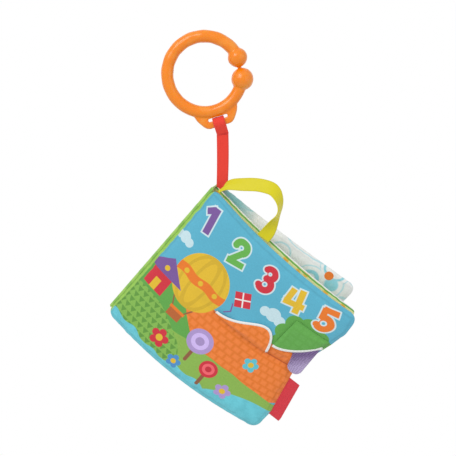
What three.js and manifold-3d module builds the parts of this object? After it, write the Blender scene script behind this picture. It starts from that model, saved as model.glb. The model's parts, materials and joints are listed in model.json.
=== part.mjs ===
// A baby's soft cloth activity book that hangs from an open plastic ring by a webbing strap.
// The book has a front cover, one inner leaf and a rear cover, each a quilted cloth panel
// with batting inside, sewn to a rounded cloth spine. The front cover carries a ribbon handle,
// two lift flaps, a ribbed pull tab and a side label.
// World frame: +X right, +Y away from the viewer, +Z up, origin where the ring hangs.
// Book frame: +X from the spine towards the fore edge, +Y towards the rear cover, +Z up the spine.

import * as THREE from 'three';
import Module from 'manifold-3d';
import { mergeVertices } from 'three/addons/utils/BufferGeometryUtils.js';

const wasm = await Module();
wasm.setup();

// Driving dimensions in millimetres
const clearance = 0.3;
const cutOverrun = 1;

// Hanging ring
const ringOuterRadius = 29;
const ringTubeRadius = 4.15;
const upperBallRadius = 6.5;
const lowerBallRadius = 7.4;
const ballOutset = 0.4;
const hangOffset = 8.8;
const lugHalfWidth = 11;
const lugFlare = 4;
const lugThickness = 4;
const lugBevel = 1.1;
const slotLength = 13.4;
const slotHeight = 2.1;
const barHeight = 4.6;

// Webbing strap
const strapWidth = 8;
const strapThickness = 0.85;
const strapLoopLength = 7.2;
const strapLean = 0.63;
const strapDrop = 39.2;
const strapSeamGap = 0.45;
const strapSeamPlace = 5.8;
const tackLength = 1.6;
const tackThickness = 0.4;

// Book panels
const bookHeight = 122;
const spineHalfDepth = 8;
const spineBulge = 2.4;
const spineInset = 1.2;
const clothThickness = 0.9;
const spineClothThickness = 0.65;
const seamCornerRadius = 7;
const leafCornerRadius = 4;
const pillowRise = 16;
const coverWidth = 132.3;
const leafSetback = 1.45;
const leafWidth = coverWidth - leafSetback;
const rearSetback = 11;
const rearWidth = coverWidth - rearSetback;
const taper = 1.85;
const coverTopRise = 0.5;
const leafTopRise = 0.2;
const rearTopRise = 7.5;
const bottomRise = 11.2;
const pageBow = 5;
const coverSag = 3.2;
const leafSag = 1.2;
const rearSag = 0;
const rearBow = 3.5;
const coverCrown = 2.9;
const leafCrown = 2.3;
const rearCrown = 3.3;
const rearFanDepth = 14;
const coverHingeGap = 0.5;
const foreEdgeNotch = 8;
const filmThickness = 0.25;

// Ribbon handle
const handleStart = 1.6;
const handleSpan = 48.5;
const handleRise = 26.4;
const handleWidth = 9.5;
const handleThickness = 0.55;
const handleFootGap = 0.5;

// Lift flap with a half-moon outline
const flapClothThickness = 0.5;
const flapLength = 44;
const flapFoldHeight = 59.3;
const flapDepth = 14.5;
const flapBinding = 1.5;
const flapLeastDepth = 1.2;

// Corner flap, set back from the fore edge, with the lift flap next to it
const cornerFlapSetback = 29.9;
const cornerFlapStart = coverWidth - cornerFlapSetback;
const flapSpacing = 0.8;
const flapStart = cornerFlapStart - flapSpacing - flapLength;
const cornerFlapLength = 27;
const cornerFlapFoldHeight = 94;
const cornerFlapDepth = 26;

// Ribbed pull tab under the corner flap
const tabWidth = 11;
const tabThickness = 1.3;
const tabSetback = 13.5;
const tabStart = coverWidth - tabSetback;
const tabReach = 56.5;
const tabDrift = 6.5;
const tabOverhang = 7;
const tabRound = 5;
const tabCrown = 1.2;

// Side label in the fore edge
const labelLength = 33.3;
const labelWidth = 7.5;
const labelThickness = 0.8;
const labelStart = 16.7;
const labelGap = 0.8;

// Angles
const degree = Math.PI / 180;
const bookYaw = -13 * degree;
const bookRoll = 40.6 * degree;
const lugAngle = -73 * degree;
const upperBallAngle = 27 * degree;
const lowerBallAngle = -6.7 * degree;

// Shares
// How far up the fore edge, and how far in it is drawn there
const foreEdgeShares = [[0, 0], [0.16, 0], [0.49, 1], [0.76, 0.05], [0.87, -0.2], [1, 0]];
const foreEdgeReachShare = 0.7;
const flapSkewShare = 2.5;
const flapFullnessShare = 0.8;
const cornerFlapSlantShare = 0.6;
const cornerFlapRoundShare = 0.35;
const handlePinchShare = 0.3;
const tabRoundShare = 0.98;

// Colours of cloth, webbing, ribbon and plastic
const colours = {
  ring: 0xf08c28, strap: 0xcf2f37, thread: 0xa81e28, cover: 0x5cb4cd, lining: 0xf3f6f2, batting: 0xf7f7f2,
  film: 0xd8e4ea, spine: 0x9cc653, leaf: 0xe9e6a0, leafBack: 0x8cc152, rear: 0x57b7a9, rearLining: 0xdff2f4,
  ribbon: 0xd9d21e, flap: 0xe8862e, binding: 0xf5f5ef, corner: 0x5aa648, tab: 0xa58cc8, label: 0xc42a36,
};

const part = new THREE.Group();
part.name = 'activity_book';
const book = new THREE.Group();
part.add(book);

function addPiece(parent, name, geometry, colour, roughness = 0.9) {
  const material = new THREE.MeshStandardMaterial({ color: colour, roughness, metalness: 0 });
  const mesh = new THREE.Mesh(geometry, material);
  mesh.name = name;
  parent.add(mesh);
  return mesh;
}

// Triangles collected from rows of points

function meshFromTriangles(points, triangles) {
  const geometry = new THREE.BufferGeometry();
  const flat = points.flatMap((point) => [point.x, point.y, point.z]);
  geometry.setAttribute('position', new THREE.Float32BufferAttribute(flat, 3));
  geometry.setIndex(triangles);
  const whole = mergeVertices(geometry, clearance / 100);
  whole.computeVertexNormals();
  return whole;
}

// A closed sheet between two grids of points. Both run left to right, then upwards, seen from the front.
function closedSheet(front, back) {
  const rows = front.length;
  const columns = front[0].length;
  const points = [...front.flat(), ...back.flat()];
  const at = (row, column) => row * columns + column;
  const behind = rows * columns;
  const triangles = [];
  const quad = (a, b, c, d) => triangles.push(a, b, c, a, c, d);
  for (let row = 0; row < rows - 1; row += 1) {
    for (let column = 0; column < columns - 1; column += 1) {
      const corners = [at(row, column), at(row, column + 1), at(row + 1, column + 1), at(row + 1, column)];
      quad(...corners);
      quad(...corners.map((index) => index + behind).reverse());
    }
  }
  const border = [];
  for (let column = 0; column < columns - 1; column += 1) border.push(at(0, column));
  for (let row = 0; row < rows - 1; row += 1) border.push(at(row, columns - 1));
  for (let column = columns - 1; column > 0; column -= 1) border.push(at(rows - 1, column));
  for (let row = rows - 1; row > 0; row -= 1) border.push(at(row, 0));
  border.forEach((index, step) => {
    const next = border[(step + 1) % border.length];
    quad(index, index + behind, next + behind, next);
  });
  return meshFromTriangles(points, triangles);
}

// A closed form between two stacks of rings, each stack running inwards and ending in one point.
function closedRings(front, back) {
  const points = [];
  const triangles = [];
  const store = (rings) => rings.map((ring) => ring.map((point) => points.push(point) - 1));
  const frontRings = store(front);
  const backRings = store(back);
  const cover = (rings, add) => {
    for (let level = 0; level < rings.length - 1; level += 1) {
      const outer = rings[level];
      const inner = rings[level + 1];
      for (let step = 0; step < outer.length; step += 1) {
        const next = (step + 1) % outer.length;
        if (inner.length === 1) {
          add(outer[step], outer[next], inner[0]);
        } else {
          add(outer[step], outer[next], inner[next]);
          add(outer[step], inner[next], inner[step]);
        }
      }
    }
  };
  cover(frontRings, (a, b, c) => triangles.push(a, b, c));
  cover(backRings, (a, b, c) => triangles.push(a, c, b));
  const rim = frontRings[0];
  const rear = backRings[0];
  rim.forEach((index, step) => {
    const next = (step + 1) % rim.length;
    triangles.push(index, rear[step], rear[next], index, rear[next], rim[next]);
  });
  return meshFromTriangles(points, triangles);
}

// Turns a closed mesh's faces outwards
function faceOut(geometry) {
  const place = geometry.attributes.position;
  const index = geometry.index.array;
  const corner = [new THREE.Vector3(), new THREE.Vector3(), new THREE.Vector3()];
  let volume = 0;
  for (let at = 0; at < index.length; at += 3) {
    corner.forEach((point, step) => point.fromBufferAttribute(place, index[at + step]));
    volume += corner[0].dot(corner[1].cross(corner[2]));
  }
  if (volume < 0) geometry.setIndex(Array.from(index).reverse());
  geometry.computeVertexNormals();
  return geometry;
}

// Solid joins and cuts

function toSolid(geometry) {
  const bare = geometry.clone();
  bare.deleteAttribute('normal');
  bare.deleteAttribute('uv');
  const merged = mergeVertices(bare, clearance / 100);
  const vertProperties = new Float32Array(merged.attributes.position.array);
  const triVerts = new Uint32Array(merged.index.array);
  return new wasm.Manifold(new wasm.Mesh({ numProp: 3, vertProperties, triVerts }));
}

function fromSolid(solid) {
  const mesh = solid.getMesh();
  const geometry = new THREE.BufferGeometry();
  geometry.setAttribute('position', new THREE.Float32BufferAttribute(mesh.vertProperties, 3));
  geometry.setIndex(Array.from(mesh.triVerts));
  geometry.computeVertexNormals();
  return geometry;
}

// Hanging ring: an open tube with a ball at each end and a slotted lug for the strap

const ringPathRadius = ringOuterRadius - ringTubeRadius;
const ringInnerRadius = ringOuterRadius - 2 * ringTubeRadius;
const ringCentre = new THREE.Vector3(-hangOffset, 0, -Math.sqrt(ringInnerRadius ** 2 - hangOffset ** 2));
const barRadius = ringOuterRadius + slotHeight + barHeight / 2;
const lugOut = new THREE.Vector3(Math.cos(lugAngle), 0, Math.sin(lugAngle));
const lugAlong = new THREE.Vector3(-Math.sin(lugAngle), 0, Math.cos(lugAngle));

class RingArc extends THREE.Curve {
  getPoint(share, target = new THREE.Vector3()) {
    const angle = upperBallAngle + share * (2 * Math.PI + lowerBallAngle - upperBallAngle);
    return target.set(ringPathRadius * Math.cos(angle), 0, ringPathRadius * Math.sin(angle));
  }
}

function circleShape(radius, sides) {
  const shape = new THREE.Shape();
  for (let side = 0; side < sides; side += 1) {
    const angle = (side / sides) * 2 * Math.PI;
    const draw = side === 0 ? 'moveTo' : 'lineTo';
    shape[draw](radius * Math.cos(angle), radius * Math.sin(angle));
  }
  shape.closePath();
  return shape;
}

function lugShape() {
  const top = -ringPathRadius;
  const slotTop = -ringOuterRadius;
  const slotBottom = slotTop - slotHeight;
  const bottom = slotBottom - barHeight;
  const shape = new THREE.Shape();
  const flareHalfWidth = lugHalfWidth + lugFlare;
  const round = barHeight;
  shape.moveTo(-flareHalfWidth, top);
  shape.quadraticCurveTo(-flareHalfWidth + lugBevel, slotTop, -lugHalfWidth, slotBottom);
  shape.quadraticCurveTo(-lugHalfWidth + lugBevel, bottom, -lugHalfWidth + round, bottom);
  shape.lineTo(lugHalfWidth - round, bottom);
  shape.quadraticCurveTo(lugHalfWidth - lugBevel, bottom, lugHalfWidth, slotBottom);
  shape.quadraticCurveTo(flareHalfWidth - lugBevel, slotTop, flareHalfWidth, top);
  shape.closePath();
  return shape;
}

function slotShape() {
  const top = -ringOuterRadius;
  const bottom = top - slotHeight;
  const shape = new THREE.Shape();
  shape.moveTo(-slotLength / 2, bottom);
  shape.lineTo(slotLength / 2, bottom);
  shape.lineTo(slotLength / 2, top);
  shape.lineTo(-slotLength / 2, top);
  shape.closePath();
  return shape;
}

function plate(shape, thickness, bevel) {
  const geometry = new THREE.ExtrudeGeometry(shape, {
    depth: thickness - 2 * bevel, bevelEnabled: bevel > 0, bevelThickness: bevel, bevelSize: bevel,
    bevelOffset: -bevel, bevelSegments: 2, curveSegments: 6,
  });
  geometry.translate(0, 0, bevel - thickness / 2);
  geometry.rotateX(Math.PI / 2);
  geometry.rotateY(-(lugAngle + Math.PI / 2));
  return geometry;
}

function makeRing() {
  const arc = new THREE.ExtrudeGeometry(circleShape(ringTubeRadius, 12), {
    steps: 46, extrudePath: new RingArc(), bevelEnabled: false,
  });
  let solid = toSolid(arc);
  const ends = [
    { angle: upperBallAngle, radius: upperBallRadius, out: ringPathRadius - ballOutset },
    { angle: lowerBallAngle, radius: lowerBallRadius, out: ringPathRadius + ballOutset },
  ];
  for (const end of ends) {
    const ball = new THREE.SphereGeometry(end.radius, 18, 12);
    ball.translate(end.out * Math.cos(end.angle), 0, end.out * Math.sin(end.angle));
    solid = solid.add(toSolid(ball));
  }
  solid = solid.add(toSolid(plate(lugShape(), lugThickness, lugBevel)));
  const cutDepth = 2 * (ringTubeRadius + cutOverrun);
  solid = solid.subtract(toSolid(plate(slotShape(), cutDepth, 0)));
  const geometry = fromSolid(solid);
  geometry.translate(ringCentre.x, ringCentre.y, ringCentre.z);
  return geometry;
}

addPiece(part, 'link_ring', makeRing(), colours.ring, 0.3);

// Strap: a loop round the lug's bar, its row of stitches, and the doubled webbing down to the book

const barCentre = ringCentre.clone().addScaledVector(lugOut, barRadius);
const loopInnerRadius = Math.hypot(barHeight / 2, lugThickness / 2) + clearance;
const loopOuterRadius = loopInnerRadius + strapThickness;
const stitchCentre = barCentre.clone().addScaledVector(lugOut, strapLoopLength);

// The arc of a loop from its right leg over the top to its left leg
function loopArc(radius, halfNeck) {
  const legAngle = Math.asin((radius - halfNeck) / strapLoopLength);
  const points = [];
  const steps = 14;
  for (let step = 0; step <= steps; step += 1) {
    const angle = -legAngle + (step / steps) * (Math.PI + 2 * legAngle);
    points.push(new THREE.Vector2(radius * Math.cos(angle), radius * Math.sin(angle)));
  }
  return points;
}

// A block whose top face lies at the given height, used to trim the loop level
function blockBelow(height) {
  const size = 4 * strapLoopLength;
  const block = new THREE.BoxGeometry(size, size, size);
  block.translate(stitchCentre.x, 0, height - size / 2);
  return block;
}

function makeStrapLoop() {
  const neck = -strapLoopLength - strapWidth;
  const shape = new THREE.Shape();
  const outer = loopArc(loopOuterRadius, strapThickness);
  shape.moveTo(strapThickness, neck);
  outer.forEach((point) => shape.lineTo(point.x, point.y));
  shape.lineTo(-strapThickness, neck);
  shape.closePath();
  const hole = new THREE.Path();
  const inner = loopArc(loopInnerRadius, clearance);
  hole.moveTo(0, -strapLoopLength + strapThickness);
  inner.forEach((point) => hole.lineTo(point.x, point.y));
  hole.closePath();
  shape.holes.push(hole);
  const geometry = new THREE.ExtrudeGeometry(shape, { depth: strapWidth, bevelEnabled: false });
  geometry.translate(0, 0, -strapWidth / 2);
  const frame = new THREE.Matrix4().makeBasis(new THREE.Vector3(0, 1, 0), lugOut.clone().negate(), lugAlong);
  frame.setPosition(barCentre);
  geometry.applyMatrix4(frame);
  return fromSolid(toSolid(geometry).subtract(toSolid(blockBelow(stitchCentre.z))));
}

addPiece(part, 'strap_loop', makeStrapLoop(), colours.strap);

// Panels: each is mapped from its flat cloth, X along the width and Z up from the bottom edge

const mix = THREE.MathUtils.lerp;
const ease = THREE.MathUtils.smoothstep;
const seamHalf = clothThickness + clearance / 2;

function makePanel(sizes) {
  const panel = { ...sizes };
  panel.notchAt = (p, q) => {
    const after = Math.max(1, foreEdgeShares.findIndex(([place]) => place >= Math.min(q, 1)));
    const [low, high] = [foreEdgeShares[after - 1], foreEdgeShares[after]];
    const inward = mix(low[1], high[1], Math.max(0, q - low[0]) / (high[0] - low[0]));
    return sizes.notch * inward * ease(p, foreEdgeReachShare, 1);
  };
  panel.at = (X, Z, outset = 0) => {
    const p = X / sizes.width;
    const q = Z / sizes.height;
    const inside = Math.min(1, Math.max(0, p));
    const x = sizes.x0 + p * (sizes.width + mix(taper, -taper, q)) - panel.notchAt(p, q);
    const middle = 4 * inside * (1 - inside);
    const z = p * mix(bottomRise, sizes.topRise, q) - bookHeight * (1 - q) - sizes.sag * middle;
    const y = sizes.y0 + sizes.fan * p - sizes.bow * middle;
    return new THREE.Vector3(x, y + outset, z);
  };
  panel.puff = (inset) => {
    const rest = 1 - Math.min(inset / pillowRise, 1);
    return sizes.crown * Math.sqrt(1 - rest * rest);
  };
  panel.insetOf = (X, Z) => Math.max(0, Math.min(X, sizes.width - X, Z, sizes.height - Z));
  // A point outside the panel's front face by the given distance
  panel.over = (X, Z, distance) => panel.at(X, Z, -(seamHalf + panel.puff(panel.insetOf(X, Z)) + distance));
  return panel;
}

const spineInnerBulge = spineBulge - 2 * spineClothThickness - clearance;
const leafStart = -spineInnerBulge + clearance;
const cover = makePanel({
  width: coverWidth, height: bookHeight, x0: coverHingeGap, y0: -spineHalfDepth, topRise: coverTopRise,
  sag: coverSag, bow: pageBow, fan: 0, crown: coverCrown, notch: foreEdgeNotch, radius: seamCornerRadius,
});
const leaf = makePanel({
  width: leafWidth, height: bookHeight, x0: leafStart, y0: 0, topRise: leafTopRise,
  sag: leafSag, bow: pageBow, fan: 0, crown: leafCrown, notch: 0, radius: leafCornerRadius,
});
const rear = makePanel({
  width: rearWidth, height: bookHeight, x0: coverHingeGap, y0: spineHalfDepth, topRise: rearTopRise,
  sag: rearSag, bow: rearBow, fan: rearFanDepth, crown: rearCrown, notch: 0, radius: seamCornerRadius,
});

// The flat outline of a panel, anticlockwise seen from the front, as offsets from its middle
function panelOutline(panel) {
  const halfWidth = panel.width / 2;
  const halfHeight = panel.height / 2;
  const turns = 4;
  const straight = { across: 7, up: 6 };
  const points = [];
  const corners = [[1, 1], [-1, 1], [-1, -1], [1, -1]];
  corners.forEach(([right, up], corner) => {
    const middle = new THREE.Vector2(right * (halfWidth - panel.radius), up * (halfHeight - panel.radius));
    for (let turn = 0; turn <= turns; turn += 1) {
      const angle = (corner + turn / turns) * (Math.PI / 2);
      const reach = new THREE.Vector2(Math.cos(angle), Math.sin(angle)).multiplyScalar(panel.radius);
      points.push(middle.clone().add(reach));
    }
    const steps = corner % 2 === 0 ? straight.across : straight.up;
    const next = corners[(corner + 1) % corners.length];
    const ending = new THREE.Vector2(next[0] * (halfWidth - panel.radius), next[1] * (halfHeight - panel.radius));
    const square = new THREE.Vector2(Math.cos((corner + 1) * (Math.PI / 2)), Math.sin((corner + 1) * (Math.PI / 2)));
    const from = points[points.length - 1];
    const to = ending.add(square.multiplyScalar(panel.radius));
    for (let step = 1; step < steps; step += 1) points.push(from.clone().lerp(to, step / steps));
  });
  return points;
}

// Rings of points at the given insets on one side of a panel; depthAt gives the distance from its middle
function panelRings(panel, insets, side, depthAt) {
  const outline = panelOutline(panel);
  const middle = new THREE.Vector2(panel.width / 2, panel.height / 2);
  const place = (offset, inset) => {
    const X = middle.x + offset.x * (1 - inset / middle.x);
    const Z = middle.y + offset.y * (1 - inset / middle.y);
    return panel.at(X, Z, side * depthAt(inset));
  };
  const rings = insets.map((inset) => outline.map((offset) => place(offset, inset)));
  rings.push([place(new THREE.Vector2(0, 0), pillowRise)]);
  return rings;
}

const edgeShares = [0, 0.0625, 0.25, 0.5625, 1, 2];
const outerInsets = edgeShares.map((share) => share * pillowRise);
const innerInsets = outerInsets.filter((inset, step) => step !== 1);
const fillInsets = innerInsets.slice(1);
const filmInsets = innerInsets.slice(2);

function clothShell(panel, side) {
  const outside = (inset) => seamHalf + panel.puff(inset);
  const inside = (inset) => outside(inset) - clothThickness;
  const outer = panelRings(panel, outerInsets, side, outside);
  const inner = panelRings(panel, innerInsets, side, inside);
  return faceOut(closedRings(outer, inner));
}

function panelFill(panel, filmSide) {
  const inside = (inset) => seamHalf + panel.puff(inset) - clothThickness - clearance;
  const underFilm = (inset) => inside(inset) - filmThickness - clearance;
  const front = panelRings(panel, fillInsets, -1, filmSide < 0 ? underFilm : inside);
  const back = panelRings(panel, fillInsets, 1, filmSide > 0 ? underFilm : inside);
  return faceOut(closedRings(front, back));
}

function panelFilm(panel, side) {
  const inside = (inset) => seamHalf + panel.puff(inset) - clothThickness - clearance;
  const near = (inset) => inside(inset) - filmThickness;
  return faceOut(closedRings(panelRings(panel, filmInsets, side, inside), panelRings(panel, filmInsets, side, near)));
}

addPiece(book, 'cover_cloth', clothShell(cover, -1), colours.cover);
addPiece(book, 'cover_lining', clothShell(cover, 1), colours.lining);
addPiece(book, 'cover_batting', panelFill(cover, -1), colours.batting);
addPiece(book, 'cover_crinkle_film', panelFilm(cover, -1), colours.film, 0.4);
addPiece(book, 'leaf_front_cloth', clothShell(leaf, -1), colours.leaf);
addPiece(book, 'leaf_back_cloth', clothShell(leaf, 1), colours.leafBack);
addPiece(book, 'leaf_batting', panelFill(leaf, 0), colours.batting);
addPiece(book, 'rear_lining', clothShell(rear, -1), colours.rearLining);
addPiece(book, 'rear_cloth', clothShell(rear, 1), colours.rear);
addPiece(book, 'rear_batting', panelFill(rear, 1), colours.batting);
addPiece(book, 'rear_crinkle_film', panelFilm(rear, 1), colours.film, 0.4);

// Spine: two cloths bent round from the front cover's edge to the rear cover's edge

function spineSheet(outerBulge, outerDepth) {
  const steps = 12;
  const levels = 5;
  const grid = (inward) => {
    const rows = [];
    for (let level = 0; level <= levels; level += 1) {
      const z = mix(-bookHeight + spineInset, -spineInset, level / levels);
      const row = [];
      for (let step = 0; step <= steps; step += 1) {
        const angle = (step / steps - 1 / 2) * Math.PI;
        const x = -(outerBulge - inward) * Math.cos(angle);
        row.push(new THREE.Vector3(x, (outerDepth - inward) * Math.sin(angle), z));
      }
      rows.push(row);
    }
    return rows;
  };
  return faceOut(closedSheet(grid(0), grid(spineClothThickness)));
}

const spineLayer = spineClothThickness + clearance;
addPiece(book, 'spine_cloth', spineSheet(spineBulge, spineHalfDepth + spineLayer / 2), colours.spine);
addPiece(
  book, 'spine_lining',
  spineSheet(spineBulge - spineLayer, spineHalfDepth - spineLayer / 2), colours.lining,
);

// Flaps: each is a grid over the cover's face, from its fold line to its free edge

function flapSheet(placeAt, from, to, nearDistance, farDistance) {
  const steps = 16;
  const levels = 4;
  const grid = (distance) => {
    const rows = [];
    for (let level = 0; level <= levels; level += 1) {
      const row = [];
      for (let step = 0; step <= steps; step += 1) {
        const share = step / steps;
        const { X, Z } = placeAt(share, mix(from(share), to(share), level / levels));
        row.push(cover.over(X, Z, distance));
      }
      rows.push(row);
    }
    return rows;
  };
  return faceOut(closedSheet(grid(farDistance), grid(nearDistance)));
}

const flapLiningNear = clearance;
const flapLiningFar = flapLiningNear + flapClothThickness;
const flapClothNear = flapLiningFar + clearance;
const flapClothFar = flapClothNear + flapClothThickness;

function addFlap(name, placeAt, depthAt, clothColour) {
  const fold = () => 0;
  const hem = (share) => depthAt(share) + clearance;
  const edge = (share) => hem(share) + flapBinding;
  addPiece(book, name + '_cloth', flapSheet(placeAt, fold, depthAt, flapClothNear, flapClothFar), clothColour);
  addPiece(book, name + '_lining', flapSheet(placeAt, fold, depthAt, flapLiningNear, flapLiningFar), colours.lining);
  addPiece(book, name + '_binding', flapSheet(placeAt, hem, edge, flapLiningNear, flapClothFar), colours.binding);
}

const liftFlapPlace = (share, depth) => ({ X: flapStart + share * flapLength, Z: flapFoldHeight + depth });
const liftFlapDepth = (share) => {
  const arch = Math.sin(Math.PI * share ** flapSkewShare);
  return flapLeastDepth + flapDepth * Math.max(0, arch) ** flapFullnessShare;
};
addFlap('lift_flap', liftFlapPlace, liftFlapDepth, colours.flap);

const cornerFlapPlace = (share, depth) => ({
  X: cornerFlapStart + share * cornerFlapLength,
  Z: cornerFlapFoldHeight - depth,
});
const cornerFlapReach = (share) => {
  const slant = 1 - cornerFlapSlantShare * share ** 2;
  const round = 1 - cornerFlapRoundShare * share ** 8;
  return cornerFlapDepth * slant * round;
};
addFlap('corner_flap', cornerFlapPlace, cornerFlapReach, colours.corner);

// Pull tab: a padded ribbed tongue that hangs from the corner flap's free edge

function makePullTab() {
  const steps = 10;
  const levels = 10;
  const endShare = (tabStart - cornerFlapStart) / cornerFlapLength;
  const grid = (distance, sign) => {
    const rows = [];
    for (let level = 0; level <= levels; level += 1) {
      const down = level / levels;
      const row = [];
      for (let step = 0; step <= steps; step += 1) {
        const across = step / steps;
        const flapShare = mix(endShare, 1, across);
        const top = cornerFlapFoldHeight - cornerFlapReach(flapShare) - flapBinding - 2 * clearance;
        const round = tabRound * (1 - Math.sqrt(1 - (2 * across - 1) ** 2 * tabRoundShare));
        const X = tabStart + across * tabWidth + down * tabDrift;
        const Z = mix(top, tabReach + round, down);
        const place = cover.at(X, Z);
        place.y = cover.over(Math.min(X, coverWidth - tabOverhang), Z, distance).y;
        place.y -= sign * tabCrown * Math.sin(Math.PI * across) * Math.sin(Math.PI * down);
        row.push(place);
      }
      rows.push(row);
    }
    return rows;
  };
  return faceOut(closedSheet(grid(clearance + tabThickness, 1), grid(clearance, 0)));
}

addPiece(book, 'pull_tab', makePullTab(), colours.tab);

// Side label: a short flat tape that stands out from the fore edge

function makeSideLabel() {
  const grid = (depth) => {
    const rows = [];
    for (const Z of [labelStart, labelStart + labelLength / 2, labelStart + labelLength]) {
      const edge = cover.at(coverWidth, Z, depth);
      const out = new THREE.Vector3(1, 0, bottomRise / coverWidth).normalize();
      const row = [];
      for (const reach of [labelGap, labelGap + labelWidth / 2, labelGap + labelWidth]) {
        row.push(edge.clone().addScaledVector(out, reach));
      }
      rows.push(row);
    }
    return rows;
  };
  return faceOut(closedSheet(grid(-labelThickness / 2), grid(labelThickness / 2)));
}

addPiece(book, 'side_label', makeSideLabel(), colours.label);

// Ribbon handle: a satin ribbon sewn in the cover's top seam at both ends, standing up as a loop

// Each row is the place along the span, the place up the rise, and the turn of the ribbon's width
const handleShares = [
  [0.045, 0, 0.9], [0.095, 0.3, 0.45], [0.25, 0.58, 0.33], [0.41, 0.83, 0.33], [0.555, 0.975, 0.36],
  [0.64, 1, 0.45], [0.72, 0.965, 0.6], [0.8, 0.89, 0.76], [0.865, 0.775, 0.83], [0.9, 0.64, 0.8],
  [0.925, 0.44, 0.55], [0.955, 0.2, 0.25], [0.96, 0, 0.1],
];

function makeHandle() {
  const start = cover.at(handleStart, cover.height);
  const end = cover.at(handleStart + handleSpan, cover.height);
  const along = end.clone().sub(start);
  const points = handleShares.map(([across, up]) => {
    const point = start.clone().addScaledVector(along, across);
    point.z = mix(start.z, end.z, across * (1 - up)) + handleFootGap + handleRise * up;
    return point;
  });
  const curve = new THREE.CatmullRomCurve3(points, false, 'centripetal');
  const steps = 36;
  const rows = { front: [], back: [] };
  for (let step = 0; step <= steps; step += 1) {
    const share = step / steps;
    const point = curve.getPoint(share);
    const tangent = curve.getTangent(share);
    const knot = share * (handleShares.length - 1);
    const low = Math.min(Math.floor(knot), handleShares.length - 2);
    const turn = mix(handleShares[low][2], handleShares[low + 1][2], knot - low) * (Math.PI / 2);
    const level = new THREE.Vector3(tangent.z, 0, -tangent.x).normalize();
    const deep = new THREE.Vector3().crossVectors(level, tangent).normalize();
    const across = level.clone().multiplyScalar(Math.cos(turn)).addScaledVector(deep, Math.sin(turn));
    const face = new THREE.Vector3().crossVectors(tangent, across).normalize();
    const pinch = mix(handlePinchShare, 1, ease(share, 0, handlePinchShare));
    const half = (handleWidth / 2) * pinch;
    const edges = [-1, 0, 1].map((side) => point.clone().addScaledVector(across, side * half));
    rows.front.push(edges.map((edge) => edge.clone().addScaledVector(face, handleThickness / 2)));
    rows.back.push(edges.map((edge) => edge.clone().addScaledVector(face, -handleThickness / 2)));
  }
  return faceOut(closedSheet(rows.front, rows.back));
}

addPiece(book, 'ribbon_handle', makeHandle(), colours.ribbon, 0.35);

// The book hangs by the leaf's top seam from the lower end of the strap

book.rotation.set(0, bookRoll, bookYaw, 'ZXY');
const seamWorld = new THREE.Vector3(stitchCentre.x - strapLean, 0, stitchCentre.z - strapDrop);
const seamTurn = new THREE.Matrix4().makeRotationFromEuler(book.rotation);
const seamLocal = leaf.at(strapSeamPlace, leaf.height);
book.position.copy(seamWorld).sub(seamLocal.clone().applyMatrix4(seamTurn));
book.updateMatrixWorld(true);

function makeStrapWebbing() {
  const top = stitchCentre.clone();
  top.z -= clearance;
  const edgeAt = (place) => book.localToWorld(leaf.at(place, leaf.height));
  const slope = edgeAt(strapSeamPlace + strapWidth).sub(edgeAt(strapSeamPlace)).normalize();
  const halfAlong = strapWidth / 2 / Math.hypot(slope.x, slope.y);
  const lower = (side) => {
    const point = edgeAt(strapSeamPlace).addScaledVector(slope, side * halfAlong);
    point.z += strapSeamGap;
    return point;
  };
  const upper = (side) => top.clone().add(new THREE.Vector3((side * strapWidth) / 2, 0, 0));
  const leafOut = new THREE.Vector3(0, -1, 0).transformDirection(book.matrixWorld).setZ(0).normalize();
  const levels = 10;
  const grid = (distance) => {
    const rows = [];
    for (let level = 0; level <= levels; level += 1) {
      const up = level / levels;
      const out = leafOut.clone().lerp(new THREE.Vector3(0, -1, 0), up).normalize();
      const row = [];
      for (const side of [-1, 0, 1]) {
        row.push(lower(side).lerp(upper(side), up).addScaledVector(out, distance));
      }
      rows.push(row);
    }
    return rows;
  };
  return faceOut(closedSheet(grid(strapThickness), grid(-strapThickness)));
}

addPiece(part, 'strap_webbing', makeStrapWebbing(), colours.strap);

function makeTack() {
  const geometry = new THREE.BoxGeometry(strapWidth - 2 * tackThickness, tackThickness, tackLength);
  const depth = strapThickness + clearance + tackThickness / 2;
  geometry.translate(stitchCentre.x, -depth, stitchCentre.z - clearance - tackLength);
  return geometry;
}

addPiece(part, 'strap_bar_tack', makeTack(), colours.thread);

export default part;
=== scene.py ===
"""A baby's cloth activity book hanging from an open ring, dressed in printed cloth, ribbon and webbing.

Lengths inside the makers are millimetres in the book's own frame, with X from the spine to the fore edge,
Y towards the rear cover and Z up the spine. The meshes are written in metres, in the world's frame.
"""

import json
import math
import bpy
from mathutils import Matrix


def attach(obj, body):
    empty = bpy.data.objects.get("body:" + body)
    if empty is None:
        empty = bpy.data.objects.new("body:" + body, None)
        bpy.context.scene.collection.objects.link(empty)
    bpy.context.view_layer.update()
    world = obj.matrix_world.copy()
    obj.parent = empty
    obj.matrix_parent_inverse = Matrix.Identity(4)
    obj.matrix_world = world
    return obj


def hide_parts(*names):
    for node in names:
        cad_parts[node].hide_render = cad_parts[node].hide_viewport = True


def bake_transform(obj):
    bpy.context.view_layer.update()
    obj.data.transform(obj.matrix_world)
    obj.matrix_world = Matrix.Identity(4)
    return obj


bl_info = {
    "name": "Cloth Activity Book",
    "version": (1, 0, 0),
    "blender": (4, 5, 0),
    "location": "View3D > Sidebar > Cloth Book",
    "description": "Makes a padded cloth book with a ribbon handle, lift flaps and a hanging ring",
    "category": "Add Mesh",
}

import bmesh
import bpy
import numpy as np
from mathutils import Matrix, Vector, noise

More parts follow.
